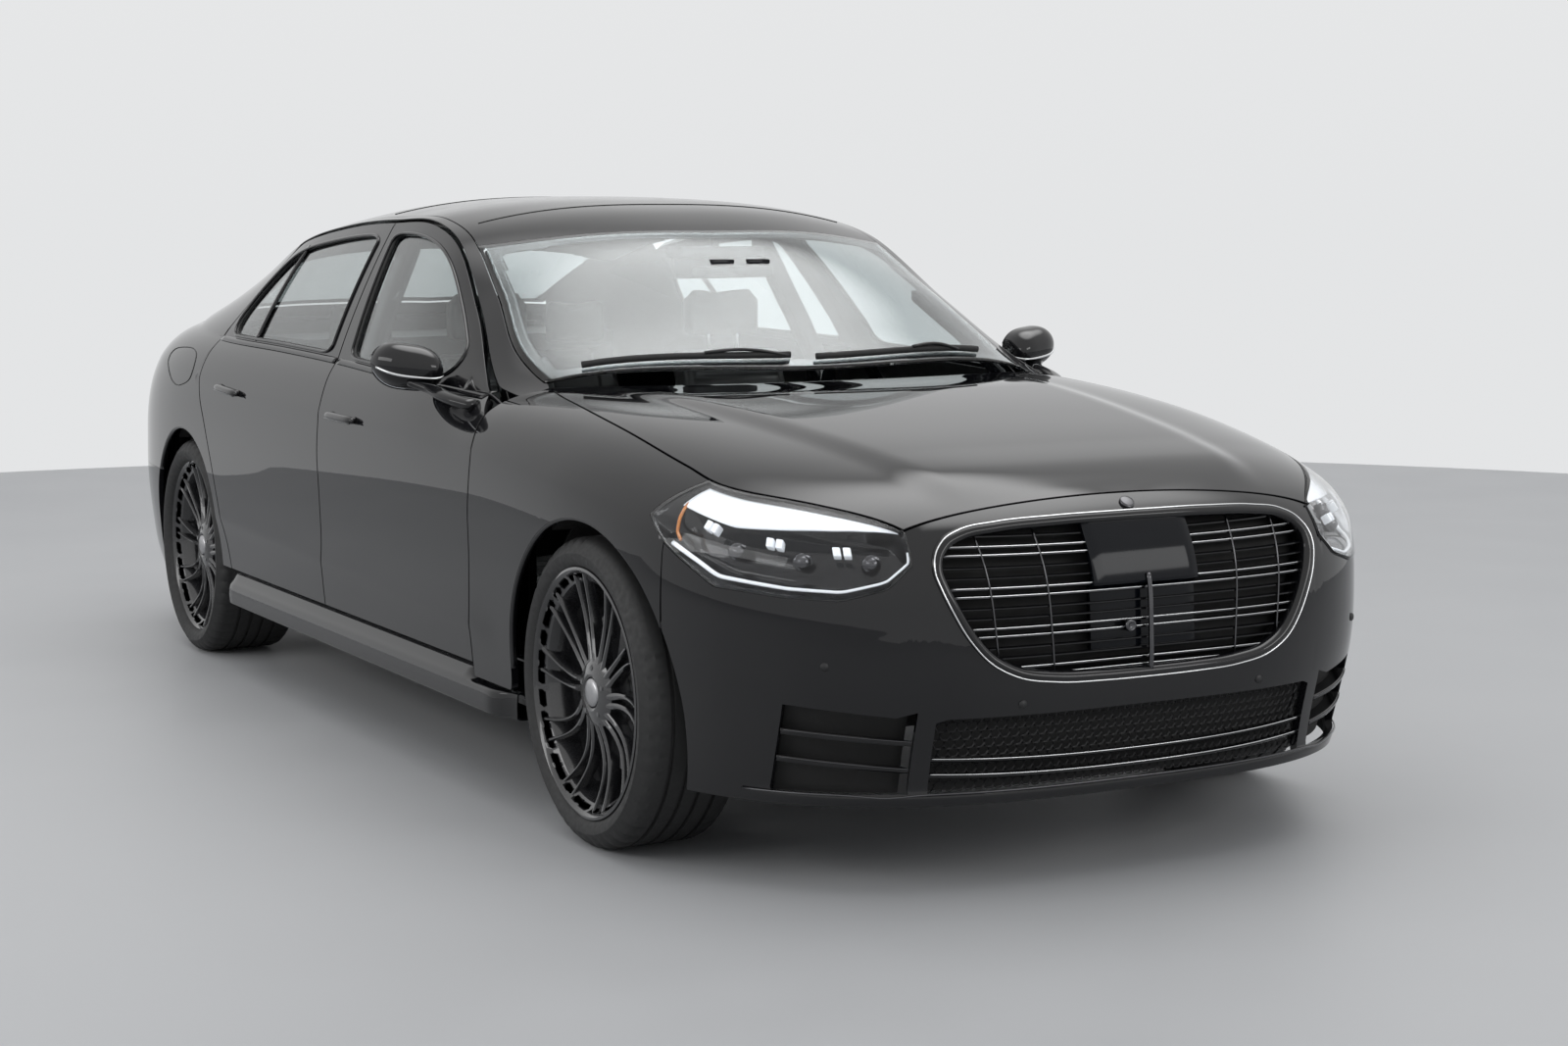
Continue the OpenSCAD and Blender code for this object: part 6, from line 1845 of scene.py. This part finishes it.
class SaloonSettings(bpy.types.PropertyGroup):
    paint: bpy.props.FloatVectorProperty(name="Paint", description="Colour of the body panels",
                                         subtype="COLOR",
                                         default=(0.0045, 0.0045, 0.0055), min=0, max=1)
    leather: bpy.props.FloatVectorProperty(name="Leather", description="Colour of the seats", subtype="COLOR",
                                           default=(0.020, 0.019, 0.019), min=0, max=1)
    floor: bpy.props.FloatVectorProperty(name="Floor", description="Colour of the studio floor",
                                         subtype="COLOR",
                                         default=(0.56, 0.563, 0.566), min=0, max=1)
    backdrop: bpy.props.FloatProperty(name="Backdrop", description="Brightness of the studio wall",
                                      default=0.86,
                                      min=0, max=1)


class SALOON_OT_stage(bpy.types.Operator):
    """Adds the floor, the soft lamps and the camera"""
    bl_idname = "saloon.stage"
    bl_label = "Stage"

    def execute(self, context):
        build_stage(context)
        return {"FINISHED"}


def area_lamp(name, place, aim, size, power):
    light = bpy.data.lights.new(name, "AREA")
    light.shape = "RECTANGLE"
    light.size, light.size_y = size
    light.energy = power
    obj = bpy.data.objects.new(name, light)
    obj.location = place
    obj.rotation_euler = (Vector(aim) - Vector(place)).to_track_quat("-Z", "Y").to_euler()
    bpy.context.scene.collection.objects.link(obj)
    return obj


def build_stage(context):
    look = context.scene.saloon
    scene = context.scene
    scene.view_settings.view_transform = "Standard"
    bm = bmesh.new()
    bmesh.ops.create_circle(bm, cap_ends=True, segments=128, radius=8.5)
    mesh = bpy.data.meshes.new("floor")
    bm.to_mesh(mesh)
    bm.free()
    floor = bpy.data.objects.new("floor", mesh)
    floor.location.z = 0
    scene.collection.objects.link(floor)
    _, nt, b = shader("floor_finish", tuple(look.floor), 0.5)
    varied(nt, b, noise(nt, 0.6, 4), tuple(look.floor), tuple(c * 1.04 for c in look.floor), (0.45, 0.55))
    mesh.materials.append(MATERIALS["floor_finish"])
    world = bpy.data.worlds.new("studio")
    scene.world = world
    world.use_nodes = True
    nt = world.node_tree
    plain = nt.nodes["Background"]
    plain.inputs["Color"].default_value = (0.92, 0.95, 1.0, 1)
    plain.inputs["Strength"].default_value = 0.48
    seen = nt.nodes.new("ShaderNodeBackground")
    seen.inputs["Strength"].default_value = look.backdrop
    where = nt.nodes.new("ShaderNodeTexCoord")
    split = nt.nodes.new("ShaderNodeSeparateXYZ")
    ramp = nt.nodes.new("ShaderNodeValToRGB")
    ramp.color_ramp.elements[0].position = 0.0
    ramp.color_ramp.elements[0].color = (0.90, 0.91, 0.92, 1)
    ramp.color_ramp.elements[1].position = 0.5
    ramp.color_ramp.elements[1].color = (1, 1, 1, 1)
    nt.links.new(where.outputs["Generated"], split.inputs["Vector"])
    nt.links.new(split.outputs["Z"], ramp.inputs["Fac"])
    nt.links.new(ramp.outputs["Color"], seen.inputs["Color"])
    # a soft bright patch overhead, to the car's left, that the windscreen and the hood reflect
    toward = nt.nodes.new("ShaderNodeVectorMath")
    toward.operation = "DOT_PRODUCT"
    toward.inputs[1].default_value = Vector((-0.203, 0.317, 0.926)).normalized()
    patch = nt.nodes.new("ShaderNodeMapRange")
    patch.interpolation_type = "SMOOTHSTEP"
    for socket, value in (("From Min", 0.86), ("From Max", 0.985), ("To Min", look.backdrop),
                          ("To Max", 4.2)):
        patch.inputs[socket].default_value = value
    nt.links.new(where.outputs["Generated"], toward.inputs[0])
    nt.links.new(toward.outputs["Value"], patch.inputs["Value"])
    nt.links.new(patch.outputs["Result"], seen.inputs["Strength"])
    path = nt.nodes.new("ShaderNodeLightPath")
    either = nt.nodes.new("ShaderNodeMath")
    either.operation = "MAXIMUM"
    third = nt.nodes.new("ShaderNodeMath")
    third.operation = "MAXIMUM"
    nt.links.new(path.outputs["Is Camera Ray"], either.inputs[0])
    nt.links.new(path.outputs["Is Glossy Ray"], either.inputs[1])
    nt.links.new(either.outputs[0], third.inputs[0])
    nt.links.new(path.outputs["Is Transmission Ray"], third.inputs[1])
    mix = nt.nodes.new("ShaderNodeMixShader")
    nt.links.new(third.outputs[0], mix.inputs["Fac"])
    nt.links.new(plain.outputs["Background"], mix.inputs[1])
    nt.links.new(seen.outputs["Background"], mix.inputs[2])
    nt.links.new(mix.outputs["Shader"], nt.nodes["World Output"].inputs["Surface"])
    area_lamp("ceiling", (0.5, -0.5, 5.2), (0, 0, 0), (9, 6), 90).visible_glossy = False
    area_lamp("side_bank", (1.0, -6.5, 3.4), (0, 0, 0.7), (7, 1.6), 90)
    area_lamp("front_bank", (7.5, 2.5, 3.2), (1.5, 0, 0.6), (4, 1.4), 60)
    camera = bpy.data.cameras.new("camera")
    camera.sensor_width = 36
    camera.lens = 59.25
    view = bpy.data.objects.new("camera", camera)
    forward = Vector((-0.87412589, 0.47253763, -0.11230373)).normalized()
    right = Vector((0.47598515, 0.87944198, -0.00446573)).normalized()
    up = right.cross(forward)
    view.matrix_world = Matrix((
        (right.x, up.x, -forward.x, 7.05172894), (right.y, up.y, -forward.y, -3.27128898),
        (right.z, up.z, -forward.z, 1.39368616), (0, 0, 0, 1)))
    scene.collection.objects.link(view)
    scene.camera = view


class SALOON_OT_materials(bpy.types.Operator):
    """Makes the finishes"""
    bl_idname = "saloon.materials"
    bl_label = "Finishes"

    def execute(self, context):
        make_materials()
        for node, material in KEPT.items():
            dress(node, material)
        return {"FINISHED"}


KEPT = {
    "floor_pan": "chassis", "wheel_liners": "liner", "engine": "cast",
    "front_frame": "chassis", "front_suspension": "cast", "rear_suspension": "cast", "exhaust": "exhaust_steel",
    "bulkheads": "satin_plastic", "dashboard": "satin_plastic", "centre_console": "satin_plastic",
    "steering_wheel": "leather", "knuckle_left": "cast",
    "knuckle_right": "cast",
}


def operator(name, label, doc, build):
    """An operator class that runs one builder."""
    def execute(self, context):
        build()
        return {"FINISHED"}
    return type(f"SALOON_OT_{name}", (bpy.types.Operator,),
                {"bl_idname": f"saloon.{name}", "bl_label": label, "__doc__": doc, "execute": execute})


BUILDERS = [operator(*row) for row in (
    ("seats", "Seats", "Adds the padded seats on their bases", build_seats),
    ("doors", "Doors", "Adds the door panels, frames, windows and handles", build_doors),
    ("sides", "Sides", "Adds the fenders, quarters and roof rails", build_sides),
    ("roof", "Roof", "Adds the roof, the windscreen and the rear window", build_roof),
    ("lids", "Lids", "Adds the hood and the boot lid", build_lids),
    ("nose", "Nose", "Adds the nose cover, the grille and the intakes", build_nose),
    ("lamps", "Lamps", "Adds the headlamps and the tail lamps", build_lamps),
    ("tail", "Tail", "Adds the rear cover, the diffuser and the exhaust trims", build_tail),
    ("wheels", "Wheels", "Adds the tyres, rims, spokes and brakes", build_wheels),
)]


class SALOON_PT_panel(bpy.types.Panel):
    """Lists the pieces of the saloon"""
    bl_label = "Saloon"
    bl_idname = "SALOON_PT_panel"
    bl_space_type = "VIEW_3D"
    bl_region_type = "UI"
    bl_category = "Saloon"

    def draw(self, context):
        for cls in OPERATORS:
            self.layout.operator(cls.bl_idname)


OPERATORS = [SALOON_OT_materials, *BUILDERS, SALOON_OT_stage]
CLASSES = [SaloonSettings, *OPERATORS, SALOON_PT_panel]


def register():
    for cls in CLASSES:
        bpy.utils.register_class(cls)
    bpy.types.Scene.saloon = bpy.props.PointerProperty(type=SaloonSettings)


def unregister():
    del bpy.types.Scene.saloon
    for cls in reversed(CLASSES):
        bpy.utils.unregister_class(cls)


def main():
    register()
    for cls in OPERATORS:
        group, name = cls.bl_idname.split(".")
        getattr(getattr(bpy.ops, group), name)()


if __name__ == "__main__":
    main()
